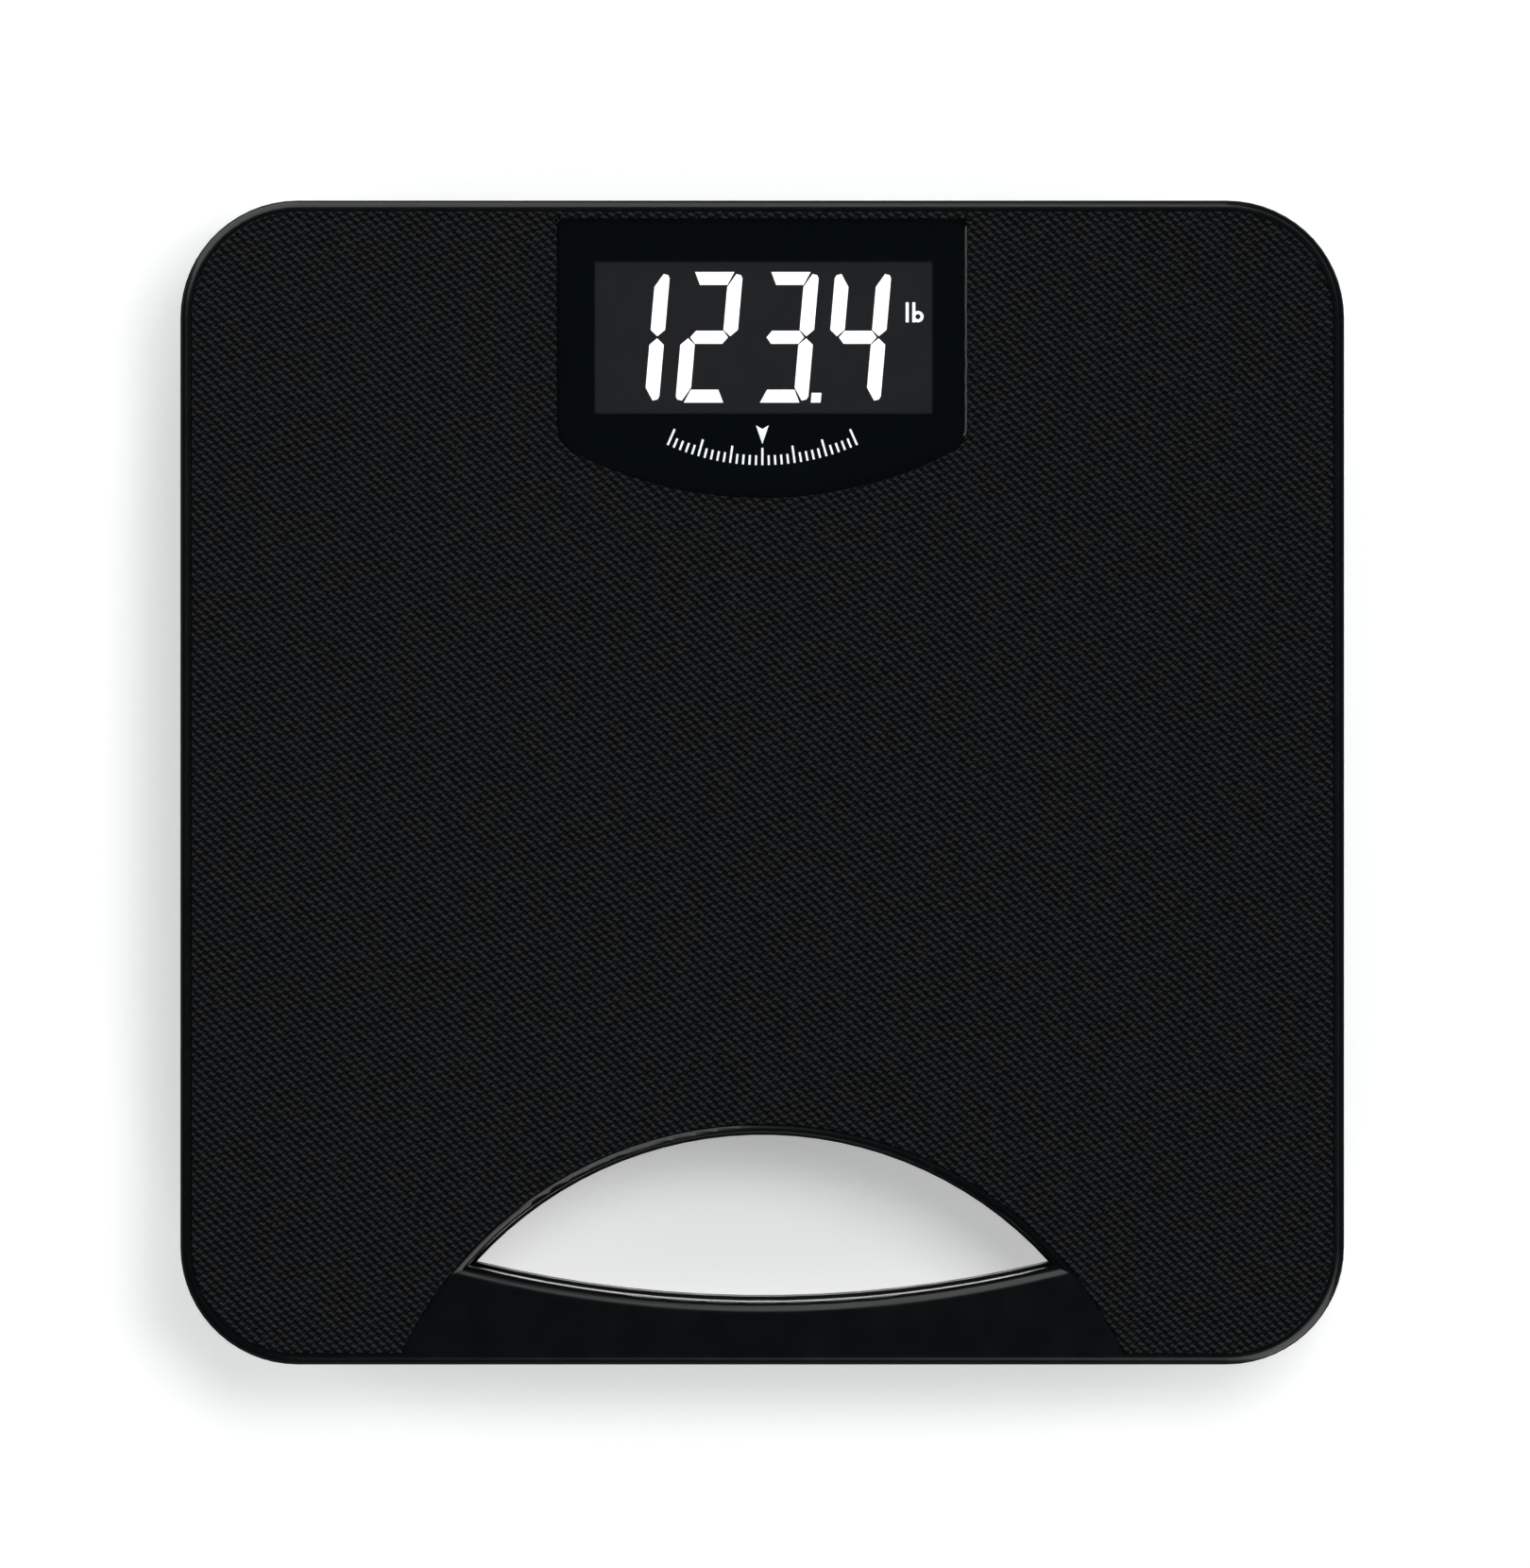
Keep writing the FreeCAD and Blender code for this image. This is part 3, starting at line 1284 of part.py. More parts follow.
def battery_door():
    """The door, its hinge barrel with two end pins, its latch finger and its grip grooves."""
    top_z = BASE_BOTTOM_Z + DOOR_T
    middle_y = (DOOR_LOW_Y + DOOR_HIGH_Y) / 2
    leaf = rounded_block(
        0,
        middle_y,
        2 * DOOR_HALF_X,
        DOOR_HIGH_Y - DOOR_LOW_Y,
        DOOR_GAP,
        BASE_BOTTOM_Z,
        top_z,
    )
    pin_end = HINGE_HALF_X + HINGE_PIN_LENGTH
    finger = block(
        -FINGER_HALF_X,
        FINGER_HALF_X,
        FINGER_LOW_Y,
        FINGER_LOW_Y + FINGER_T,
        top_z - OVERCUT,
        FINGER_TOP_Z,
    )
    nib = block(
        -FINGER_HALF_X, FINGER_HALF_X, FINGER_LOW_Y - NIB_OUT, FINGER_LOW_Y, NIB_Z, FINGER_TOP_Z
    )
    nib = nib.makeChamfer(NIB_OUT / 2, [nib_top_edge(nib)])
    added = [
        block(-HINGE_HALF_X, HINGE_HALF_X, DOOR_HIGH_Y - OVERCUT, HINGE_Y, BASE_BOTTOM_Z, top_z),
        rod_along_x(-HINGE_HALF_X, HINGE_HALF_X, HINGE_Y, HINGE_Z, HINGE_R),
        rod_along_x(-pin_end, pin_end, HINGE_Y, HINGE_Z, HINGE_PIN_R),
        finger,
        nib,
    ]
    grips = []
    for number in range(GRIP_COUNT):
        y = GRIP_LOW_Y + number * GRIP_PITCH
        grips.append(
            block(
                -GRIP_HALF_X,
                GRIP_HALF_X,
                y,
                y + GRIP_W,
                BASE_BOTTOM_Z - OVERCUT,
                BASE_BOTTOM_Z + GRIP_DEPTH,
            )
        )
    return leaf.fuse(added).cut(grips).removeSplitter()


def nib_top_edge(nib):
    """The nib's upper outer edge, which runs along X."""
    tops = edges_at_level(nib, FINGER_TOP_Z)
    return min(tops, key=lambda edge: edge.CenterOfMass.y)


# ---------------------------------------------------------------- unit switch
def switch_body():
    body = centred_block(
        SWITCH_X, SWITCH_Y, SWITCH_BODY_X, SWITCH_BODY_Y, BASE_FLOOR_Z, SWITCH_BODY_TOP_Z
    )
    body = body.makeChamfer(SWITCH_CHAMFER, edges_at_level(body, SWITCH_BODY_TOP_Z))
    cavity = centred_block(
        SWITCH_X,
        SWITCH_Y,
        SWITCH_CAVITY_X,
        SWITCH_CAVITY_Y,
        BASE_FLOOR_Z - OVERCUT,
        SWITCH_CAVITY_TOP_Z,
    )
    return body.cut(cavity)


def unit_slider():
    """The slider at the left end of its travel, with grip ribs on its face."""
    x = SWITCH_X - SLIDER_TRAVEL / 2
    flange = centred_block(
        x, SWITCH_Y, SLIDER_FLANGE_X, SLIDER_FLANGE_Y, SLIDER_FLANGE_LOW_Z, SLIDER_FLANGE_TOP_Z
    )
    stem = centred_block(
        x, SWITCH_Y, SLIDER_STEM_X, SLIDER_STEM_Y, SLIDER_STEM_Z, SLIDER_FLANGE_LOW_Z
    )
    grooves = [
        centred_block(
            x + side, SWITCH_Y, CROSS_W, SWITCH_SLOT_Y, SLIDER_STEM_Z - OVERCUT, SLIDER_STEM_Z + GRIP_DEPTH
        )
        for side in (-1, 0, 1)
    ]
    return flange.fuse(stem).cut(grooves)


def switch_lead():
    start_y = SWITCH_Y + SWITCH_BODY_Y / 2
    start_z = (BASE_FLOOR_Z + SWITCH_BODY_TOP_Z) / 2
    route = [
        vector(SWITCH_X, start_y, start_z),
        vector(SWITCH_X, start_y + SWITCH_LEAD_OUT, start_z),
        vector(SWITCH_SOCKET_X, start_y + SWITCH_LEAD_RISE, LEAD_END_Z),
        vector(SWITCH_SOCKET_X, SOCKET_Y, LEAD_END_Z),
    ]
    return three_core_lead(route, SWITCH_LEAD_BEND)


# ---------------------------------------------------------------- all nodes
def main():
    os.makedirs("parts", exist_ok=True)
    save("top_shell", [top_shell()])
    save("top_mat", [top_mat()])
    save("display_lens", [display_lens()])
    save("lens_mask", [lens_mask()])
    save("lens_seal", [lens_seal()])
    save("lcd_glass", [lcd_glass()])
    save("lcd_segments", lcd_segments())
    save("lcd_backlight", [lcd_backlight()])
    save("lcd_holder", [lcd_holder()])
    save("contact_strip", [contact_strip()])
    save("main_board", [main_board()])
    save("controller_chip", [controller_chip()])
    save("board_components", board_components())
    save("board_sockets", board_sockets())
    save("board_screws", board_screws())
    save("base_shell", [base_shell()])
    save("housing_screws", housing_screws())
    save("rating_label", [rating_label()])
    for corner, side_x, side_y in corners():
        save(f"foot_pad_{corner}", [at_foot(foot_pad(), side_x, side_y)])
        save(f"foot_cup_{corner}", [at_foot(foot_cup(), side_x, side_y)])
        save(f"load_cell_{corner}", [at_foot(load_cell(), side_x, side_y)])
        save(f"cell_lead_{corner}", cell_lead(side_x, side_y))
    save("strain_gauges", at_all_feet(strain_gauge()))
    save("cell_retainers", at_all_feet(cell_retainer()))
    save("retainer_screws", at_all_feet(retainer_screw_pair()))
    for number in range(BATTERY_COUNT):
        save(f"battery_{number + 1}", [battery(number)])
    save("battery_plates", battery_plates())
    save("battery_springs", battery_springs())
    save("battery_lead_negative", [battery_lead_negative()])
    save("battery_lead_positive", [battery_lead_positive()])
    save("battery_door", [battery_door()])
    save("switch_body", [switch_body()])
    save("switch_lead", switch_lead())
    save("unit_slider", [unit_slider()])


main()
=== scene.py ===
import math

import bpy
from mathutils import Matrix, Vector, noise
from mathutils.geometry import delaunay_2d_cdt


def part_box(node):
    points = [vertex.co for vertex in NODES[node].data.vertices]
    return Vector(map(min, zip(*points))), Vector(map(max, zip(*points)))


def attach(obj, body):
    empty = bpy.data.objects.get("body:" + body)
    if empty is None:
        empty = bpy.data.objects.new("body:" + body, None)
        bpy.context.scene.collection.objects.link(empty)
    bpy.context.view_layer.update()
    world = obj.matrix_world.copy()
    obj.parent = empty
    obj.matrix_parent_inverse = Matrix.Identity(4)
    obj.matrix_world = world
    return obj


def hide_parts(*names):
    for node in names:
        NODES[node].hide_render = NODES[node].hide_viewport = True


# The looks of a digital bathroom scale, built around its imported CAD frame.
# Lengths are in metres. The origin is on the floor under the middle of the platform.

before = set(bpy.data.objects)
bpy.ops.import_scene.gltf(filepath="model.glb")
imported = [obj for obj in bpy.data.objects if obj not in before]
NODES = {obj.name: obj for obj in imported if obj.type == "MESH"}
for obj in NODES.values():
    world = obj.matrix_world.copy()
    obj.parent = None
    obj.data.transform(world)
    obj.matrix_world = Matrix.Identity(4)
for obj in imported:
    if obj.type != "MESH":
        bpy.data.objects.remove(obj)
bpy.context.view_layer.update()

MM = 0.001
BODY = "housing"
CORNERS = ("front_left", "front_right", "display_left", "display_right")
BATTERIES = range(1, 5)


# ================================================================ shader helpers
def linear(*levels):
    """A colour given as sRGB levels from 0 to 255, or one grey level, as linear RGBA."""
    if len(levels) == 1:
        levels = levels * 3
    shares = [level / 255 for level in levels]
    return (*(s / 12.92 if s <= 0.04045 else ((s + 0.055) / 1.055) ** 2.4 for s in shares), 1.0)


def scaled(colour, factor):
    """A linear colour made darker or lighter."""
    return (*(share * factor for share in colour[:3]), 1.0)


class Shader:
    """A procedural material being made. Its textures are placed in the object's own metres."""

    def __init__(self, name):
        self.material = bpy.data.materials.new(name)
        self.material.use_nodes = True
        self.tree = self.material.node_tree
        self.tree.nodes.clear()
        self.output = self.node("ShaderNodeOutputMaterial")
        self.place = self.node("ShaderNodeTexCoord").outputs["Object"]

    def node(self, kind, inputs=None, **settings):
        """Adds a node. An input's value is a socket to link or a plain value."""
        made = self.tree.nodes.new(kind)
        for key, value in settings.items():
            setattr(made, key, value)
        for key, value in (inputs or {}).items():
            if isinstance(value, bpy.types.NodeSocket):
                self.tree.links.new(value, made.inputs[key])
            else:
                made.inputs[key].default_value = value
        return made

    def math(self, operation, first, second=0.0):
        """What a Math node makes of one or two values."""
        return self.node("ShaderNodeMath", {0: first, 1: second}, operation=operation).outputs[0]

    def noise(self, size, detail=2.0, roughness=0.5, place=None):
        """Noise from 0 to 1, whose features are about size metres wide."""
        inputs = {
            "Vector": place or self.place,
            "Scale": 1 / size,
            "Detail": detail,
            "Roughness": roughness,
        }
        return self.node("ShaderNodeTexNoise", inputs).outputs["Fac"]

    def cells(self, size, output):
        """Voronoi cells about size metres wide."""
        inputs = {"Vector": self.place, "Scale": 1 / size}
        return self.node("ShaderNodeTexVoronoi", inputs).outputs[output]

    def ramp(self, value, low, high, start=0.0, end=1.0):
        """Maps value from start…end to low…high, smoothly and clamped."""
        inputs = {"Value": value, "From Min": start, "From Max": end, "To Min": low, "To Max": high}
        made = self.node("ShaderNodeMapRange", inputs, interpolation_type="SMOOTHSTEP")
        return made.outputs["Result"]

    def mix(self, share, first, second):
        """A colour from first to second. A Mix node's colour sockets have these numbers."""
        made = self.node("ShaderNodeMix", {0: share, 6: first, 7: second}, data_type="RGBA")
        return made.outputs[2]

    def wander(self, size, low, high, detail=3.0, start=0.3, end=0.7):
        """A value that wanders between low and high, in patches about size metres wide. It is low
        where the noise is below start, and high where it is above end."""
        return self.ramp(self.noise(size, detail), low, high, start, end)

    def mottle(self, size, first, second, detail=3.0):
        """A colour that wanders between first and second, in patches about size metres wide."""
        return self.mix(self.wander(size, 0.0, 1.0, detail), first, second)

    def bump(self, height, depth):
        """A bump of that depth in metres from a height of 0 to 1."""
        inputs = {"Height": height, "Distance": depth, "Strength": 1.0}
        return self.node("ShaderNodeBump", inputs).outputs["Normal"]

    def axes(self):
        """The X, Y and Z of the place, as three sockets."""
        return self.node("ShaderNodeSeparateXYZ", {"Vector": self.place}).outputs

    def distance(self, coordinate, middle):
        """How far a coordinate is from a middle, either way."""
        return self.math("ABSOLUTE", self.math("SUBTRACT", coordinate, middle))

    def margin(self, centre, half):
        """How far inside a rectangle in X and Y the place is, from its nearest side."""
        x, y, _ = self.axes()
        aside = self.math("SUBTRACT", half.x, self.distance(x, centre.x))
        along = self.math("SUBTRACT", half.y, self.distance(y, centre.y))
        return self.math("MINIMUM", aside, along)

    def finish(self, surface):
        """Ends the material in that shader's socket."""
        self.tree.links.new(surface, self.output.inputs["Surface"])
        return self.material

    def principled(self, **inputs):
        """Ends the material in a Principled shader, whose inputs are named with underscores."""
        named = {key.replace("_", " "): value for key, value in inputs.items()}
        return self.finish(self.node("ShaderNodeBsdfPrincipled", named).outputs["BSDF"])


# ================================================================ materials
def moulded(name, colour, roughness, grain=0.25 * MM, depth=0.006 * MM, gloss=0.5):
    """Moulded plastic with a fine grain, slight flow marks and an uneven sheen."""
    shader = Shader(name)
    tone = shader.mottle(28 * MM, scaled(colour, 0.92), scaled(colour, 1.08))
    sheen = shader.wander(9 * MM, roughness * 0.9, roughness * 1.1, 4.0)
    relief = shader.bump(shader.noise(grain), depth)
    return shader.principled(
        Base_Color=tone, Roughness=sheen, Normal=relief, Specular_IOR_Level=gloss
    )


def rubber(name, colour, roughness=0.75):
    """Matt rubber with a dusty bloom."""
    shader = Shader(name)
    bloom = shader.ramp(shader.noise(4 * MM, 5.0, 0.6), 0.0, 1.0, 0.35, 0.75)
    tone = shader.mix(bloom, colour, scaled(colour, 1.35))
    relief = shader.bump(shader.noise(0.35 * MM, 3.0), 0.012 * MM)
    return shader.principled(
        Base_Color=tone, Roughness=roughness, Normal=relief, Specular_IOR_Level=0.3
    )


def metal(name, colour, roughness=0.3, brushed=(1.0, 1.0, 1.0)):
    """Plated or rolled metal. A large number in brushed packs its marks close along that axis."""
    shader = Shader(name)
    stretch = shader.node("ShaderNodeMapping", {"Vector": shader.place, "Scale": brushed})
    marks = shader.noise(0.5 * MM, 4.0, 0.6, stretch.outputs[0])
    tone = shader.mix(shader.wander(6 * MM, 0.0, 1.0, start=0.35), scaled(colour, 0.8), colour)
    sheen = shader.ramp(marks, roughness * 0.75, roughness * 1.25, 0.3, 0.7)
    relief = shader.bump(marks, 0.004 * MM)
    return shader.principled(Base_Color=tone, Metallic=1.0, Roughness=sheen, Normal=relief)


# The mat's weave. Its grains lie on a lattice whose steps are u = (3, 1) and v = (1, 3) units.
WEAVE_UNIT = 0.6647 * MM
WEAVE_START = Vector((-0.44 * MM, -0.50 * MM))
WEAVE_WAVES = (
    # steps along u and v, share of the height, where its crest lies in degrees
    (1, 1, 0.34, 45),
    (0, 1, 0.22, 0),
    (1, -1, 0.21, -138),
    (1, 2, 0.17, 28),
    (1, 0, 0.06, 0),
)


def weave_height(shader):
    """The grains' height, about -1 to 1, as a sum of waves on the lattice."""
    x, y, _ = shader.axes()
    x = shader.math("SUBTRACT", x, WEAVE_START.x)
    y = shader.math("SUBTRACT", y, WEAVE_START.y)
    height = 0.0
    for along_u, along_v, share, crest in WEAVE_WAVES:
        per_x = 2 * math.pi * (3 * along_u - along_v) / (8 * WEAVE_UNIT)
        per_y = 2 * math.pi * (3 * along_v - along_u) / (8 * WEAVE_UNIT)
        turn_x = shader.math("MULTIPLY", x, per_x)
        turn_y = shader.math("MULTIPLY", y, per_y)
        turn = shader.math("SUBTRACT", shader.math("ADD", turn_x, turn_y), math.radians(crest))
        wave = shader.math("MULTIPLY", shader.math("COSINE", turn), share)
        height = shader.math("ADD", height, wave)
    return height


def weave_mat():
    """Rubber moulded with a fine woven grain. Its colour follows the grain's height: a painted
    highlight on the raised grains and a painted shade in the pits.
    """
    shader = Shader("mat_weave")
    uneven = shader.math("MULTIPLY", shader.math("SUBTRACT", shader.noise(1.1 * MM), 0.5), 0.9)
    height = shader.ramp(shader.math("ADD", weave_height(shader), uneven), 0.0, 1.0, -0.4, 1.1)
    patch = shader.wander(9 * MM, 0.0, 1.0, start=0.35, end=0.65)
    # The pits' near-black is painted shade and the crowns' light grey is a painted highlight, both
    # following the grain's height.
    painted_pit_shade = shader.mix(patch, linear(2, 3, 4), linear(3, 3, 4))
    painted_crown_highlight = shader.mix(patch, linear(55, 64, 67), linear(62, 63, 65))
    tone = shader.mix(height, painted_pit_shade, painted_crown_highlight)
    relief = shader.bump(height, 0.3 * MM)
    return shader.principled(
        Base_Color=tone, Roughness=0.55, Normal=relief, Specular_IOR_Level=0.07
    )


# What acrylic mirrors head on. It rises towards the whole by Schlick's fifth power.
ACRYLIC_MIRROR = 0.039


def clear_lens():
    """Clear acrylic: it shows what lies behind it, and mirrors more the flatter the look."""
    shader = Shader("lens_acrylic")
    smear = shader.wander(14 * MM, 0.03, 0.07, 4.0)
    through = shader.node("ShaderNodeBsdfTransparent", {"Color": (0.95, 0.96, 0.96, 1.0)})
    gloss = shader.node("ShaderNodeBsdfGlossy", {"Color": linear(255), "Roughness": smear})
    aslant = shader.node("ShaderNodeLayerWeight", {"Blend": 0.5}).outputs["Facing"]
    rise = shader.math("MULTIPLY", shader.math("POWER", aslant, 5.0), 1 - ACRYLIC_MIRROR)
    share = shader.math("ADD", rise, ACRYLIC_MIRROR)
    layers = {0: share, 1: through.outputs[0], 2: gloss.outputs[0]}
    return shader.finish(shader.node("ShaderNodeMixShader", layers).outputs[0])


def display_field(centre, half):
    """The unlit liquid-crystal field: a faint even glow, dimmed by a painted shade in a thin band
    along the window's edge.
    """
    shader = Shader("lcd_field")
    inside = shader.ramp(shader.margin(centre, half), 0.0, 1.0, 0.0, 0.5 * MM)
    field = shader.mottle(6 * MM, linear(32, 31, 33), linear(34, 33, 35))
    # The darker band along the window's edge is painted shade, since the glowing field gets no real
    # shade there.
    glow = shader.mix(inside, linear(12, 13, 14), field)
    return shader.principled(
        Base_Color=linear(6, 7, 8),
        Roughness=0.35,
        Specular_IOR_Level=0.2,
        Emission_Color=glow,
        Emission_Strength=1.0,
    )


def lit_segments():
    """Segments that let the white backlight through, a little uneven."""
    shader = Shader("lcd_lit")
    glow = shader.mottle(10 * MM, linear(255), linear(246, 250, 255), 2.0)
    return shader.principled(
        Base_Color=linear(235), Roughness=0.5, Emission_Color=glow, Emission_Strength=1.08
    )


def printed(name, colour):
    """Screen-printed ink with a slightly ragged film, which glows with painted light."""
    shader = Shader(name)
    tone = shader.mottle(1.2 * MM, linear(238, 240, 240), colour, 4.0)
    # The emission is painted light: it makes the ink glow, though it is no lamp.
    return shader.principled(
        Base_Color=tone, Roughness=0.45, Emission_Color=tone, Emission_Strength=0.75
    )


def mask_ink():
    """Glossy black ink printed behind the lens."""
    shader = Shader("mask_ink")
    tone = shader.mottle(20 * MM, linear(6, 9, 10), linear(8, 11, 12))
    return shader.principled(Base_Color=tone, Roughness=0.25, Specular_IOR_Level=0.1)


def laminate():
    """Circuit board: green solder mask over copper tracks, with tinned pads."""
    shader = Shader("board_laminate")
    inputs = {
        "Vector": shader.place,
        "Scale": 1 / (7 * MM),
        "Mortar Size": 0.05,
        "Brick Width": 1.3,
        "Row Height": 0.22,
    }
    tracks = shader.node("ShaderNodeTexBrick", inputs).outputs["Fac"]
    resin = shader.mottle(1.0 * MM, linear(18, 62, 38), linear(24, 74, 46), 2.0)
    green = shader.mix(tracks, resin, linear(38, 112, 66))
    pad = shader.math("LESS_THAN", shader.cells(4.2 * MM, "Distance"), 0.13)
    tone = shader.mix(pad, green, linear(205, 200, 188))
    relief = shader.bump(tracks, 0.03 * MM)
    return shader.principled(Base_Color=tone, Metallic=pad, Roughness=0.38, Normal=relief)


def small_parts():
    """Chip resistors and capacitors, each its own tone, black or tan."""
    shader = Shader("component_mix")
    parts = shader.node("ShaderNodeSeparateColor", {"Color": shader.cells(5 * MM, "Color")})
    is_tan = shader.math("GREATER_THAN", parts.outputs[0], 0.5)
    body = shader.mix(is_tan, linear(34, 34, 36), linear(168, 138, 98))
    tone = shader.mix(shader.wander(0.4 * MM, 0.85, 1.0), linear(20), body)
    return shader.principled(Base_Color=tone, Roughness=0.45)


# A cell's jacket: where its band starts, as a share of its length, and its bare ends
BAND_START = 0.72
BARE_NEGATIVE = 0.6 * MM
BARE_POSITIVE = 1.9 * MM


def jacket(name, low_y, high_y, points_up):
    """A cell's printed jacket: a band of colour at the positive end, bare steel at both ends. The
    positive end is at high_y where it points up."""
    shader = Shader(name)
    _, y, _ = shader.axes()
    length = high_y - low_y
    from_negative = shader.distance(y, low_y if points_up else high_y)
    banded = shader.math("GREATER_THAN", from_negative, BAND_START * length)
    bare_negative = shader.math("LESS_THAN", from_negative, BARE_NEGATIVE)
    bare_positive = shader.math("GREATER_THAN", from_negative, length - BARE_POSITIVE)
    bare = shader.math("MAXIMUM", bare_negative, bare_positive)
    ink = shader.mix(banded, linear(24, 58, 112), linear(206, 210, 214))
    scuff = shader.ramp(shader.noise(2 * MM, 5.0, 0.65), 0.0, 1.0, 0.55, 0.8)
    tone = shader.mix(bare, shader.mix(scuff, ink, linear(120)), linear(190, 190, 186))
    rough = shader.wander(3 * MM, 0.22, 0.34)
    metallic = shader.ramp(bare, 0.35, 1.0)
    return shader.principled(Base_Color=tone, Metallic=metallic, Roughness=rough)


# The blank label's ruled lines
LABEL_FRAME_IN = 2.0 * MM
LABEL_FRAME_HALF = 0.2 * MM
LABEL_ROW = 3.0 * MM
LABEL_RULE_HALF = 0.09 * MM
LABEL_RULE_IN = 4.0 * MM


def rating_film(low, high):
    """A blank rating label: a grey frame line and ruled rows, with no lettering."""
    shader = Shader("rating_film")
    centre = (low + high) / 2
    margin = shader.margin(centre, (high - low) / 2)
    frame_line = shader.math("LESS_THAN", shader.distance(margin, LABEL_FRAME_IN), LABEL_FRAME_HALF)
    row = shader.math("PINGPONG", shader.distance(shader.axes()[1], centre.y), LABEL_ROW)
    within = shader.math("GREATER_THAN", margin, LABEL_RULE_IN)
    rule = shader.math("MULTIPLY", shader.math("LESS_THAN", row, LABEL_RULE_HALF), within)
    paper = shader.mottle(3 * MM, linear(196, 198, 200), linear(206, 208, 210), 4.0)
    tone = shader.mix(shader.math("MAXIMUM", frame_line, rule), paper, linear(70, 72, 76))
    return shader.principled(Base_Color=tone, Roughness=0.4)


def wire_jacket(name, colour):
    """Soft lead insulation."""
    shader = Shader(name)
    tone = shader.mottle(5 * MM, scaled(colour, 0.8), colour)
    relief = shader.bump(shader.noise(0.5 * MM), 0.01 * MM)
    return shader.principled(Base_Color=tone, Roughness=0.5, Normal=relief)


def light_guide():
    """Frosted white light guide."""
    shader = Shader("light_guide")
    tone = shader.mottle(2 * MM, linear(222, 226, 230), linear(240, 242, 244), 4.0)
    reach = (2 * MM, 2 * MM, 2 * MM)
    return shader.principled(
        Base_Color=tone, Roughness=0.55, Subsurface_Weight=0.2, Subsurface_Radius=reach
    )


def dress(material, *names):
    """Gives CAD nodes that material."""
    for name in names:
        mesh = NODES[name].data
        mesh.materials.clear()
        mesh.materials.append(material)


# ================================================================ mesh helpers
def piece(name, verts, faces, material, smooth=True):
    """A new piece of the scale, in the row frame, that rides on the housing."""
    mesh = bpy.data.meshes.new(name)
    mesh.from_pydata([tuple(v) for v in verts], [], faces)
    mesh.polygons.foreach_set("use_smooth", [smooth] * len(mesh.polygons))
    mesh.materials.append(material)
    made = bpy.data.objects.new(name, mesh)
    bpy.context.scene.collection.objects.link(made)
    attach(made, BODY)
    return made


def arc(centre, radius, start, end, count):
    """The points of an arc from start to end degrees, both ends included, in count steps."""
    points = []
    for i in range(count + 1):
        turn = math.radians(start + (end - start) * i / count)
        x, y = centre.x + radius * math.cos(turn), centre.y + radius * math.sin(turn)
        points.append(Vector((x, y)))
    return points


def run(start, end, count):
    """The points between two ends, which are left out, in count steps."""
    return [start.lerp(end, i / count) for i in range(1, count)]


def bridge(first, second):
    """Quads between two closed rings of as many vertices."""
    after = [(i + 1) % len(first) for i in range(len(first))]
    return [(first[i], first[j], second[j], second[i]) for i, j in enumerate(after)]


# ================================================================ the mat
MAT_LOW, MAT_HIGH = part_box("top_mat")
LENS_LOW, LENS_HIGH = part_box("display_lens")
# The outlines of the mat and of the panel, as in the CAD
MAT_CORNER_R = 28.2 * MM
MAT_ARC_CENTRE = Vector((0, -197.2 * MM))
MAT_ARC_R = 106.35 * MM
PANEL_ARC_R = 110.7 * MM
PANEL_ARC_CENTRE = Vector((0, LENS_LOW.y + PANEL_ARC_R))
PANEL_LOW_R = 8 * MM
PANEL_TOP_R = 2 * MM
PANEL_GAP = 0.15 * MM
PANEL_LOW_CORNER_X = LENS_HIGH.x - PANEL_LOW_R
PANEL_LOW_CORNER = Vector((
    PANEL_LOW_CORNER_X,
    PANEL_ARC_CENTRE.y - math.sqrt((PANEL_ARC_R - PANEL_LOW_R) ** 2 - PANEL_LOW_CORNER_X**2),
))
MAT_SIDE_STEPS = 224
MAT_SHORT_SIDE_STEPS = 26
MAT_CORNER_STEPS = 40
MAT_ARC_STEPS = 176
PANEL_TOP_STEPS = 96
PANEL_SIDE_STEPS = 48
PANEL_ARC_STEPS = 90
PANEL_LOW_CORNER_STEPS = 10
PANEL_TOP_CORNER_STEPS = 6
# The mat's rounded edge: its rim, then how far in and how far down each ring below it lies
MAT_EDGE_INSET = 0.4 * MM
MAT_RIM_DROP = 0.04 * MM
MAT_EDGE = ((0.12 * MM, -0.12 * MM), (0.0, -0.4 * MM))
WEAVE_MARGIN = 0.5 * MM
WEAVE_DEPTH = 0.4 * MM
WEAVE_UNEVEN = 0.07 * MM
WEAVE_UNEVEN_SIZE = 1.5 * MM
# Where a grain's crests and pits lie from its lattice point
GRAIN_CRESTS = (Vector((-0.60, 0.10)) * MM, Vector((0.14, -0.25)) * MM)
GRAIN_PITS = (Vector((0.29, 0.54)) * MM, Vector((0.65, -0.60)) * MM)
# The triangulation's output kind that keeps only what lies inside its loops
INSIDE_LOOPS = 1
MERGE_DISTANCE = 1e-9


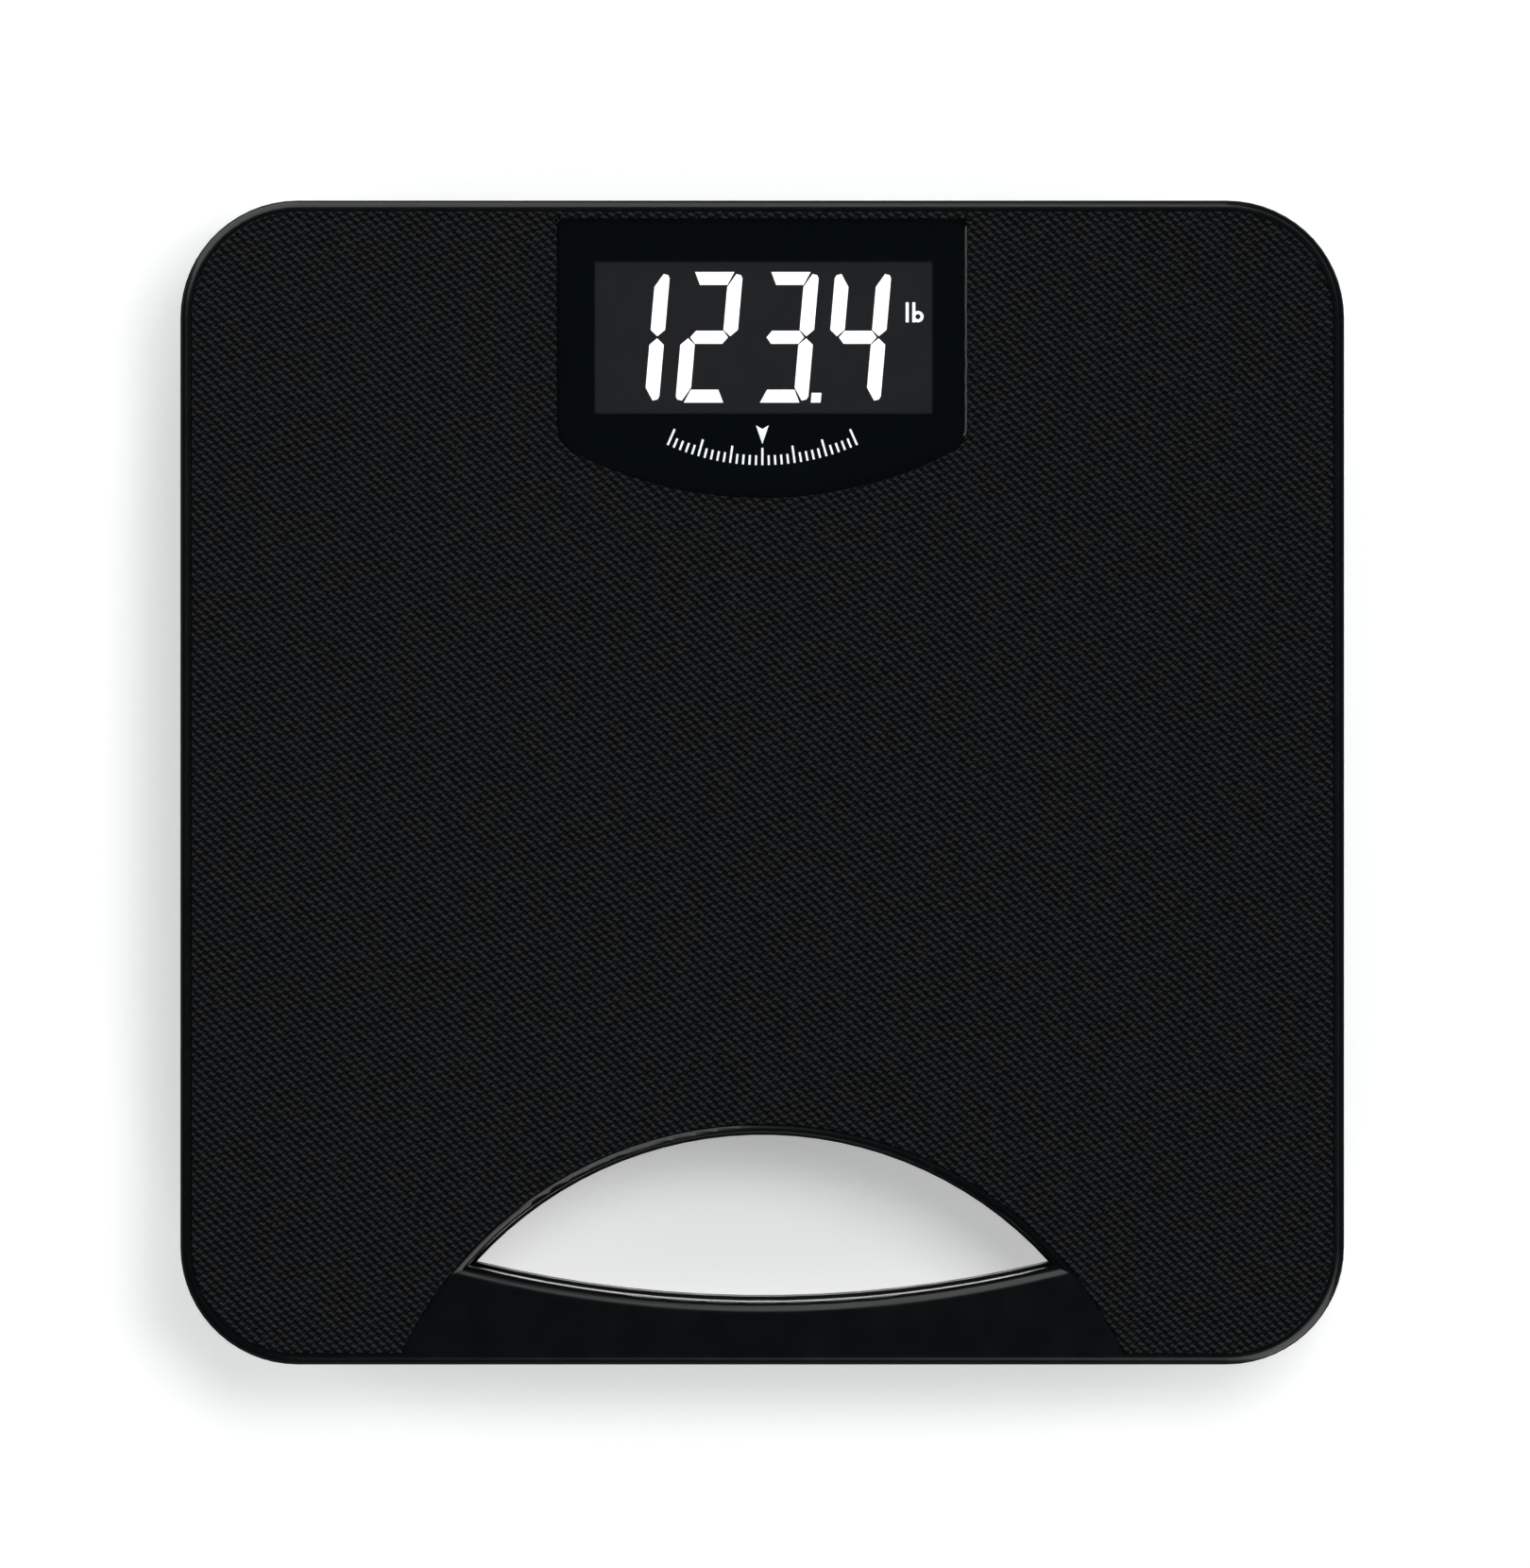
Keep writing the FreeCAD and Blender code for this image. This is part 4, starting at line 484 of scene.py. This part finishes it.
def mat_outline(inset):
    """The mat's outer outline, counter-clockwise: a rounded square less the carrying bar's arc."""
    half = MAT_HIGH.x - inset
    corner_r = MAT_CORNER_R - inset
    arc_r = MAT_ARC_R + inset
    inner = half - corner_r
    reach = math.sqrt(arc_r**2 - (MAT_ARC_CENTRE.y + half) ** 2)
    turn = math.degrees(math.acos(reach / arc_r))
    points = run(Vector((reach, -half)), Vector((inner, -half)), MAT_SHORT_SIDE_STEPS)
    for start, x, y in ((-90, inner, -inner), (0, inner, inner), (90, -inner, inner)):
        centre = Vector((x, y))
        corner = arc(centre, corner_r, start, start + 90, MAT_CORNER_STEPS)
        next_centre = Vector((-y, x))
        side_end = next_centre + (corner[-1] - centre)
        points += corner + run(corner[-1], side_end, MAT_SIDE_STEPS)
    corner = arc(Vector((-inner, -inner)), corner_r, 180, 270, MAT_CORNER_STEPS)
    points += corner + run(corner[-1], Vector((-reach, -half)), MAT_SHORT_SIDE_STEPS)
    return points + arc(MAT_ARC_CENTRE, arc_r, 180 - turn, turn, MAT_ARC_STEPS)


def panel_outline(outset):
    """The display panel's outline, counter-clockwise: straight sides and top, and an arc below."""
    half = LENS_HIGH.x + outset
    top = LENS_HIGH.y + outset
    low_r = PANEL_LOW_R + outset
    top_r = PANEL_TOP_R + outset
    corner = PANEL_LOW_CORNER
    below = corner - PANEL_ARC_CENTRE
    turn = math.degrees(math.atan2(below.y, below.x))
    points = arc(PANEL_ARC_CENTRE, PANEL_ARC_R + outset, -180 - turn, turn, PANEL_ARC_STEPS)
    points += arc(corner, low_r, turn, 0, PANEL_LOW_CORNER_STEPS)[1:]
    right = arc(Vector((half - top_r, top - top_r)), top_r, 0, 90, PANEL_TOP_CORNER_STEPS)
    left = arc(Vector((top_r - half, top - top_r)), top_r, 90, 180, PANEL_TOP_CORNER_STEPS)
    last = arc(Vector((-corner.x, corner.y)), low_r, 180, 180 - turn, PANEL_LOW_CORNER_STEPS)
    points += run(points[-1], right[0], PANEL_SIDE_STEPS) + right
    points += run(right[-1], left[0], PANEL_TOP_STEPS) + left
    return points + run(left[-1], last[0], PANEL_SIDE_STEPS) + last[:-1]


def in_mat(point, margin):
    """Whether a point lies within the mat's outer edges, at least margin from them."""
    inner = MAT_HIGH.x - MAT_CORNER_R
    beyond = Vector((max(abs(point.x) - inner, 0), max(abs(point.y) - inner, 0)))
    clear_of_bar = (point - MAT_ARC_CENTRE).length > MAT_ARC_R + margin
    return clear_of_bar and beyond.length < MAT_CORNER_R - margin


def in_panel(point, margin):
    """Whether a point lies in the display panel, grown by margin."""
    if abs(point.x) > LENS_HIGH.x + margin or point.y > LENS_HIGH.y + margin:
        return False
    folded = Vector((abs(point.x), point.y))
    past = folded - PANEL_LOW_CORNER
    below = PANEL_LOW_CORNER - PANEL_ARC_CENTRE
    if past.y < 0 and past.x * below.y - past.y * below.x < 0:
        return past.length < PANEL_LOW_R + margin
    return (point - PANEL_ARC_CENTRE).length < PANEL_ARC_R + margin


def grain_places():
    """Every grain's crests and pits, each with its depth below the mat's top."""
    along_u = Vector((3, 1)) * WEAVE_UNIT
    along_v = Vector((1, 3)) * WEAVE_UNIT
    reach = round(MAT_HIGH.x / WEAVE_UNIT)
    margin = MAT_EDGE_INSET + WEAVE_MARGIN
    kinds = [(place, 0.0) for place in GRAIN_CRESTS]
    kinds += [(place, WEAVE_DEPTH) for place in GRAIN_PITS]
    for u in range(-reach, reach):
        for v in range(-reach, reach):
            grain = WEAVE_START + along_u * u + along_v * v
            if max(abs(grain.x), abs(grain.y)) > MAT_HIGH.x:
                continue
            for place, depth in kinds:
                point = grain + place
                if in_mat(point, margin) and not in_panel(point, PANEL_GAP + margin):
                    uneven = noise.noise(Vector((point.x, point.y, depth)) / WEAVE_UNEVEN_SIZE)
                    yield point, depth + WEAVE_UNEVEN * abs(uneven)


def closed_loop(first, count):
    """The edges of a closed ring of count points that starts at point first."""
    return [(first + i, first + (i + 1) % count) for i in range(count)]


def fill(points, loops, panel_margin):
    """Triangulates between the mat's outer loop and the panel's: the points, the triangles, and the
    numbers that each point had before."""
    filled = delaunay_2d_cdt(points, loops, [], INSIDE_LOOPS, MERGE_DISTANCE)
    placed, _, triangles, sources, _, _ = filled
    kept = []
    for triangle in triangles:
        middle = sum((placed[i] for i in triangle), Vector((0, 0))) / 3
        if not in_panel(middle, panel_margin):
            kept.append(tuple(triangle))
    return placed, kept, sources


def woven_sheet():
    """The mat's vertices and faces: a closed sheet whose top is modelled grain by grain."""
    outer = mat_outline(MAT_EDGE_INSET)
    inner = panel_outline(PANEL_GAP + MAT_EDGE_INSET)
    places, depths = zip(*grain_places())
    rim_count = len(outer) + len(inner)
    loops = closed_loop(0, len(outer)) + closed_loop(len(outer), len(inner))
    points, faces, sources = fill(outer + inner + list(places), loops, PANEL_GAP + MAT_EDGE_INSET)
    levels = [MAT_HIGH.z - MAT_RIM_DROP] * rim_count + [MAT_HIGH.z - depth for depth in depths]
    verts = [(point.x, point.y, levels[source[0]]) for point, source in zip(points, sources)]
    rim = {}
    for place, found in enumerate(sources):
        rim.update((source, place) for source in found if source < rim_count)

    def skirt(ring, outline, outwards):
        """Rings of quads from the top's edge down to the mat's underside."""
        for inset, drop in (*MAT_EDGE, (0.0, MAT_LOW.z - MAT_HIGH.z)):
            lower = [len(verts) + i for i in range(len(ring))]
            verts.extend((point.x, point.y, MAT_HIGH.z + drop) for point in outline(inset))
            faces.extend(bridge(lower, ring) if outwards else bridge(ring, lower))
            ring = lower
        return ring

    low = skirt([rim[i] for i in range(len(outer))], mat_outline, True)
    panel_rim = [rim[i] for i in range(len(outer), rim_count)]
    low += skirt(panel_rim, lambda inset: panel_outline(PANEL_GAP + inset), False)
    _, under, sources = fill([Vector(verts[i][:2]) for i in low], loops, PANEL_GAP)
    faces.extend(tuple(low[sources[i][0]] for i in reversed(triangle)) for triangle in under)
    return verts, faces


def build_mat():
    """The woven sheet, in place of the CAD's plain one."""
    verts, faces = woven_sheet()
    mat = piece("woven_mat", verts, faces, weave_mat())
    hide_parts("top_mat")


# ================================================================ the panel's printed motif
MOTIF_TICKS = 31
MOTIF_SPREAD = 24.0
MOTIF_ARC_R = 62 * MM
MOTIF_LOW_Y = 84.5 * MM
MOTIF_TICK_W = 0.55 * MM
MOTIF_TICK_H = 2.6 * MM
MOTIF_LONG_TICK_H = 4.6 * MM
MOTIF_LONG_EVERY = 5
MOTIF_POINTER_H = 5.0 * MM
MOTIF_POINTER_W = 3.4 * MM
MOTIF_POINTER_NOTCH = 0.8
MOTIF_POINTER_GAP = 1.0 * MM
INK_GAP = 0.01 * MM


def build_motif():
    """A plain arc of dial ticks with a pointer, printed in white behind the lens, in ink that glows
    with painted light.
    """
    low_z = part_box("lens_mask")[1].z + INK_GAP
    high_z = LENS_LOW.z - INK_GAP
    centre = Vector((0, MOTIF_LOW_Y + MOTIF_ARC_R))
    outlines = []
    for number in range(MOTIF_TICKS):
        angle = math.radians(-90 + MOTIF_SPREAD * (2 * number / (MOTIF_TICKS - 1) - 1))
        outward = Vector((math.cos(angle), math.sin(angle)))
        across = Vector((-outward.y, outward.x)) * MOTIF_TICK_W / 2
        height = MOTIF_LONG_TICK_H if number % MOTIF_LONG_EVERY == 0 else MOTIF_TICK_H
        foot = centre + outward * MOTIF_ARC_R
        head = centre + outward * (MOTIF_ARC_R - height)
        outlines.append([foot - across, foot + across, head + across, head - across])
    tip = centre - Vector((0, MOTIF_ARC_R - MOTIF_LONG_TICK_H - MOTIF_POINTER_GAP))
    wide = Vector((MOTIF_POINTER_W / 2, 0))
    rise = Vector((0, MOTIF_POINTER_H))
    outlines.append([tip, tip + rise + wide, tip + rise * MOTIF_POINTER_NOTCH, tip + rise - wide])
    verts, faces = [], []
    for outline in outlines:
        low = [len(verts) + i for i in range(4)]
        high = [i + 4 for i in low]
        verts += [(p.x, p.y, low_z) for p in outline] + [(p.x, p.y, high_z) for p in outline]
        faces += bridge(low, high) + [tuple(high), tuple(reversed(low))]
    piece("panel_motif", verts, faces, printed("motif_glowing_ink", linear(252)), smooth=False)


# ================================================================ battery springs
SPRING_TURNS = 4.5
SPRING_WIRE_R = 0.4 * MM
SPRING_BASE_R = 5.2 * MM
SPRING_TIP_R = 3.4 * MM
SPRING_STEPS_PER_TURN = 28
SPRING_SIDES = 10
# The share of the wire at either end that lies flat
SPRING_FLAT_END = 0.12
CELL_END_DEPTH = 0.1 * MM


def positive_up(number):
    """Whether that battery's narrow positive end is at +Y."""
    low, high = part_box(f"battery_{number}")
    middle_x, middle_z = (low.x + high.x) / 2, (low.z + high.z) / 2
    radii = [
        math.hypot(v.co.x - middle_x, v.co.z - middle_z)
        for v in NODES[f"battery_{number}"].data.vertices
        if high.y - v.co.y < CELL_END_DEPTH
    ]
    return max(radii) < (high.z - low.z) / 4


def coil(centre, base_y, tip_y):
    """A tapered coil of round wire along Y, with closed ends."""
    along = Vector((0, 1, 0))
    steps = round(SPRING_TURNS * SPRING_STEPS_PER_TURN)
    verts, faces = [], []
    for step in range(steps + 1):
        share = step / steps
        angle = 2 * math.pi * SPRING_TURNS * share
        rise = max(0.0, min(1.0, (share - SPRING_FLAT_END) / (1 - 2 * SPRING_FLAT_END)))
        radius = SPRING_BASE_R + (SPRING_TIP_R - SPRING_BASE_R) * share
        outward = Vector((math.cos(angle), 0, math.sin(angle)))
        middle = centre + outward * radius + along * (base_y + (tip_y - base_y) * rise)
        for side in range(SPRING_SIDES):
            turn = 2 * math.pi * side / SPRING_SIDES
            aside = outward * math.cos(turn) + along * math.sin(turn)
            verts.append(middle + aside * SPRING_WIRE_R)
    for step in range(steps):
        ring = [step * SPRING_SIDES + i for i in range(SPRING_SIDES)]
        after = [i + SPRING_SIDES for i in ring]
        faces += bridge(ring, after)
    faces.append(tuple(reversed(range(SPRING_SIDES))))
    faces.append(tuple(range(steps * SPRING_SIDES, (steps + 1) * SPRING_SIDES)))
    return verts, faces


def build_springs(material):
    """One coil against each battery's negative end, all in one piece as in the CAD."""
    spring_low, spring_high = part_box("battery_springs")
    verts, faces = [], []
    for number in BATTERIES:
        low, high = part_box(f"battery_{number}")
        centre = Vector(((low.x + high.x) / 2, 0, (low.z + high.z) / 2))
        if positive_up(number):
            base_y, tip_y = spring_low.y + SPRING_WIRE_R, low.y - SPRING_WIRE_R
        else:
            base_y, tip_y = spring_high.y - SPRING_WIRE_R, high.y + SPRING_WIRE_R
        more_verts, more_faces = coil(centre, base_y, tip_y)
        faces += [tuple(i + len(verts) for i in face) for face in more_faces]
        verts += more_verts
    springs = piece("battery_coils", verts, faces, material)
    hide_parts("battery_springs")


# ================================================================ materials on the CAD nodes
WINDOW_HALF = Vector((45.1, 20.35)) * MM


def dress_scale():
    """Gives every CAD node that shows its material, and returns the contacts' nickel."""
    dress(moulded("shell_abs", linear(9, 13, 14), 0.24), "top_shell")
    base = moulded("base_abs", linear(24, 26, 28), 0.52, 0.5 * MM, 0.02 * MM, 0.22)
    dress(base, "base_shell", "battery_door")
    dress(clear_lens(), "display_lens")
    dress(mask_ink(), "lens_mask")
    dress(rubber("seal_foam", linear(30, 31, 33), 0.9), "lens_seal")
    light_low, light_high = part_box("lcd_backlight")
    window = (light_low + light_high) / 2
    dress(display_field(window, WINDOW_HALF), "lcd_glass")
    dress(lit_segments(), "lcd_segments")
    dress(light_guide(), "lcd_backlight")
    dress(moulded("holder_white", linear(206, 208, 206), 0.5), "lcd_holder")
    dress(rubber("contact_rubber", linear(60, 58, 62), 0.6), "contact_strip")
    dress(laminate(), "main_board")
    dress(moulded("chip_epoxy", linear(26, 26, 28), 0.55, 0.1 * MM), "controller_chip")
    dress(small_parts(), "board_components")
    dress(moulded("socket_nylon", linear(226, 220, 202), 0.45), "board_sockets")
    zinc = metal("screw_zinc", linear(176, 178, 184), 0.32)
    dress(zinc, "board_screws", "housing_screws", "retainer_screws")
    steel = metal("cell_steel", linear(150, 154, 160), 0.34, (1.0, 14.0, 1.0))
    dress(steel, *(f"load_cell_{corner}" for corner in CORNERS))
    coating = moulded("gauge_coating", linear(236, 234, 226), 0.4, 1.2 * MM, 0.05 * MM)
    dress(coating, "strain_gauges")
    dress(moulded("retainer_abs", linear(44, 46, 50), 0.5, 0.4 * MM), "cell_retainers")
    foot = moulded("foot_abs", linear(30, 32, 34), 0.46, 0.4 * MM, 0.015 * MM)
    dress(foot, *(f"foot_cup_{corner}" for corner in CORNERS))
    dress(rubber("foot_rubber", linear(52, 54, 56)), *(f"foot_pad_{corner}" for corner in CORNERS))
    for number in BATTERIES:
        low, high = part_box(f"battery_{number}")
        skin = jacket(f"battery_jacket_{number}", low.y, high.y, positive_up(number))
        dress(skin, f"battery_{number}")
    nickel = metal("contact_nickel", linear(188, 184, 172), 0.26, (1.0, 1.0, 10.0))
    dress(nickel, "battery_plates")
    dress(wire_jacket("lead_black", linear(26, 26, 27)), "battery_lead_negative")
    dress(wire_jacket("lead_red", linear(176, 26, 24)), "battery_lead_positive")
    grey_leads = [f"cell_lead_{corner}" for corner in CORNERS] + ["switch_lead"]
    dress(wire_jacket("lead_grey", linear(150, 152, 156)), *grey_leads)
    dress(rating_film(*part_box("rating_label")), "rating_label")
    dress(moulded("switch_nylon", linear(40, 40, 42), 0.45), "switch_body")
    dress(moulded("slider_white", linear(214, 214, 208), 0.42), "unit_slider")
    return nickel


# ================================================================ stage
FLOOR_SIZE = 24.0
# The floor's own glow near the scale, and the distances between which it rises to full white
FLOOR_GLOW = 0.40
FLOOR_LIT_NEAR = 0.5
FLOOR_LIT_FAR = 1.8
ROOM_SHADE = (0.017, 0.028, 0.031, 1.0)
GROUND_SHADE = (0.13, 0.14, 0.14, 1.0)
HORIZON_BLUR = 0.15
CAMERA_HEIGHT = 4.0
FRAME_HEIGHT = 417.3 * MM
CAMERA_OFFSET = (0.7 * MM, -0.4 * MM)
CAMERA_NEAR = 0.1
CAMERA_FAR = 50.0
SENSOR = 36.0


def build_floor():
    """A white floor that glows a little, and fully where the lamps don't reach. It neither bounces
    light nor mirrors in the scale, and from below it is clear."""
    shader = Shader("floor_white")
    tone = shader.mix(shader.noise(0.6, 2.0), linear(242), linear(244))
    lit = shader.node("ShaderNodeBsdfDiffuse", {"Color": tone}).outputs[0]
    away = shader.node("ShaderNodeVectorMath", {0: shader.place}, operation="LENGTH")
    strength = shader.ramp(away.outputs["Value"], FLOOR_GLOW, 1.0, FLOOR_LIT_NEAR, FLOOR_LIT_FAR)
    glow = shader.node("ShaderNodeEmission", {"Color": linear(255), "Strength": strength})
    front = shader.node("ShaderNodeAddShader", {0: lit, 1: glow.outputs[0]}).outputs[0]
    behind = shader.node("ShaderNodeNewGeometry").outputs["Backfacing"]
    clear = shader.node("ShaderNodeBsdfTransparent").outputs[0]
    shown = shader.node("ShaderNodeMixShader", {0: behind, 1: front, 2: clear}).outputs[0]
    half = FLOOR_SIZE / 2
    corners = [(-half, -half, 0), (half, -half, 0), (half, half, 0), (-half, half, 0)]
    mesh = bpy.data.meshes.new("floor")
    mesh.from_pydata(corners, [], [(0, 1, 2, 3)])
    mesh.materials.append(shader.finish(shown))
    floor = bpy.data.objects.new("floor", mesh)
    bpy.context.scene.collection.objects.link(floor)
    floor.visible_diffuse = False
    floor.visible_glossy = False
    floor.visible_shadow = False
    return floor


def soft_box(name, azimuth, elevation, distance, width, height, radiance, receivers):
    """A rectangular soft light that faces the platform and lights the receivers. Azimuth 0 is +X
    and 90 is +Y."""
    light = bpy.data.lights.new(name, "AREA")
    light.shape = "RECTANGLE"
    light.size = width
    light.size_y = height
    light.energy = radiance * math.pi * width * height
    box = bpy.data.objects.new(name, light)
    turn, rise = math.radians(azimuth), math.radians(elevation)
    outward = Vector((
        math.cos(turn) * math.cos(rise),
        math.sin(turn) * math.cos(rise),
        math.sin(rise),
    ))
    box.location = outward * distance
    box.rotation_mode = "QUATERNION"
    box.rotation_quaternion = outward.to_track_quat("Z", "Y")
    box.visible_camera = False
    bpy.context.scene.collection.objects.link(box)
    box.light_linking.receiver_collection = receivers


def linked(name, state, *objects):
    """A light-linking collection of those objects, included or left out."""
    group = bpy.data.collections.new(name)
    for item in objects:
        group.objects.link(item)
    for member in group.collection_objects:
        member.light_linking.link_state = state
    return group


def build_lights(floor):
    """Soft light from the upper right for the floor, tall boxes that draw the rounded rims, a small
    box for the lens's bevel, and a fill from below for the underside."""
    lens = NODES["display_lens"]
    floor_only = linked("lit_floor", "INCLUDE", floor)
    no_floor = linked("lit_scale", "EXCLUDE", floor)
    rims_only = linked("lit_rims", "EXCLUDE", floor, lens)
    lens_only = linked("lit_lens", "INCLUDE", lens)
    soft_box("floor_key", 45, 66, 2.4, 1.1, 1.1, 5.8, floor_only)
    for azimuth in (0, 90, 180, 270):
        soft_box(f"floor_fill_{azimuth}", azimuth, 25, 2.4, 1.6, 0.8, 4.6, floor_only)
    soft_box("rim_left", 120, 25, 2.0, 2.4, 3.4, 1.7, rims_only)
    soft_box("rim_right", -52, 25, 2.0, 1.7, 3.4, 1.9, rims_only)
    soft_box("lens_right", 0, 38, 2.0, 0.9, 0.4, 1.3, lens_only)
    soft_box("upper_right", 45, 50, 2.2, 1.4, 0.9, 0.4, no_floor)
    soft_box("under_fill", 20, -70, 2.2, 2.4, 1.6, 2.0, no_floor)


def build_world():
    """White to the camera, and to all else a dim room over a slightly paler ground."""
    world = bpy.data.worlds.new("studio")
    world.use_nodes = True
    tree = world.node_tree
    tree.nodes.clear()

    def node(kind, *links):
        """Adds a node, each of whose links is an input and the socket that feeds it."""
        made = tree.nodes.new(kind)
        for key, socket in links:
            tree.links.new(socket, made.inputs[key])
        return made

    direction = node("ShaderNodeTexCoord").outputs["Generated"]
    split = node("ShaderNodeSeparateXYZ", ("Vector", direction))
    height = node("ShaderNodeMapRange", ("Value", split.outputs["Z"]))
    height.inputs["From Min"].default_value = -HORIZON_BLUR
    height.inputs["From Max"].default_value = HORIZON_BLUR
    shade = node("ShaderNodeValToRGB", (0, height.outputs["Result"]))
    shade.color_ramp.elements[0].color = GROUND_SHADE
    shade.color_ramp.elements[1].color = ROOM_SHADE
    room = node("ShaderNodeBackground", ("Color", shade.outputs["Color"]))
    backdrop = node("ShaderNodeBackground")
    backdrop.inputs["Color"].default_value = linear(255)
    seen = node("ShaderNodeLightPath").outputs["Is Camera Ray"]
    mix = node("ShaderNodeMixShader", (0, seen), (1, room.outputs[0]), (2, backdrop.outputs[0]))
    node("ShaderNodeOutputWorld", ("Surface", mix.outputs[0]))
    bpy.context.scene.world = world


def build_camera():
    """A long lens straight above the platform."""
    data = bpy.data.cameras.new("camera")
    data.sensor_width = SENSOR
    data.lens = SENSOR * CAMERA_HEIGHT / FRAME_HEIGHT
    data.clip_start = CAMERA_NEAR
    data.clip_end = CAMERA_FAR
    camera = bpy.data.objects.new("camera", data)
    rim_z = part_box("top_shell")[1].z
    camera.location = (*CAMERA_OFFSET, rim_z + CAMERA_HEIGHT)
    bpy.context.scene.collection.objects.link(camera)
    bpy.context.scene.camera = camera


# ================================================================ assembly
nickel = dress_scale()
build_mat()
build_motif()
build_springs(nickel)
build_lights(build_floor())
build_world()
build_camera()
bpy.context.scene.view_settings.view_transform = "Standard"
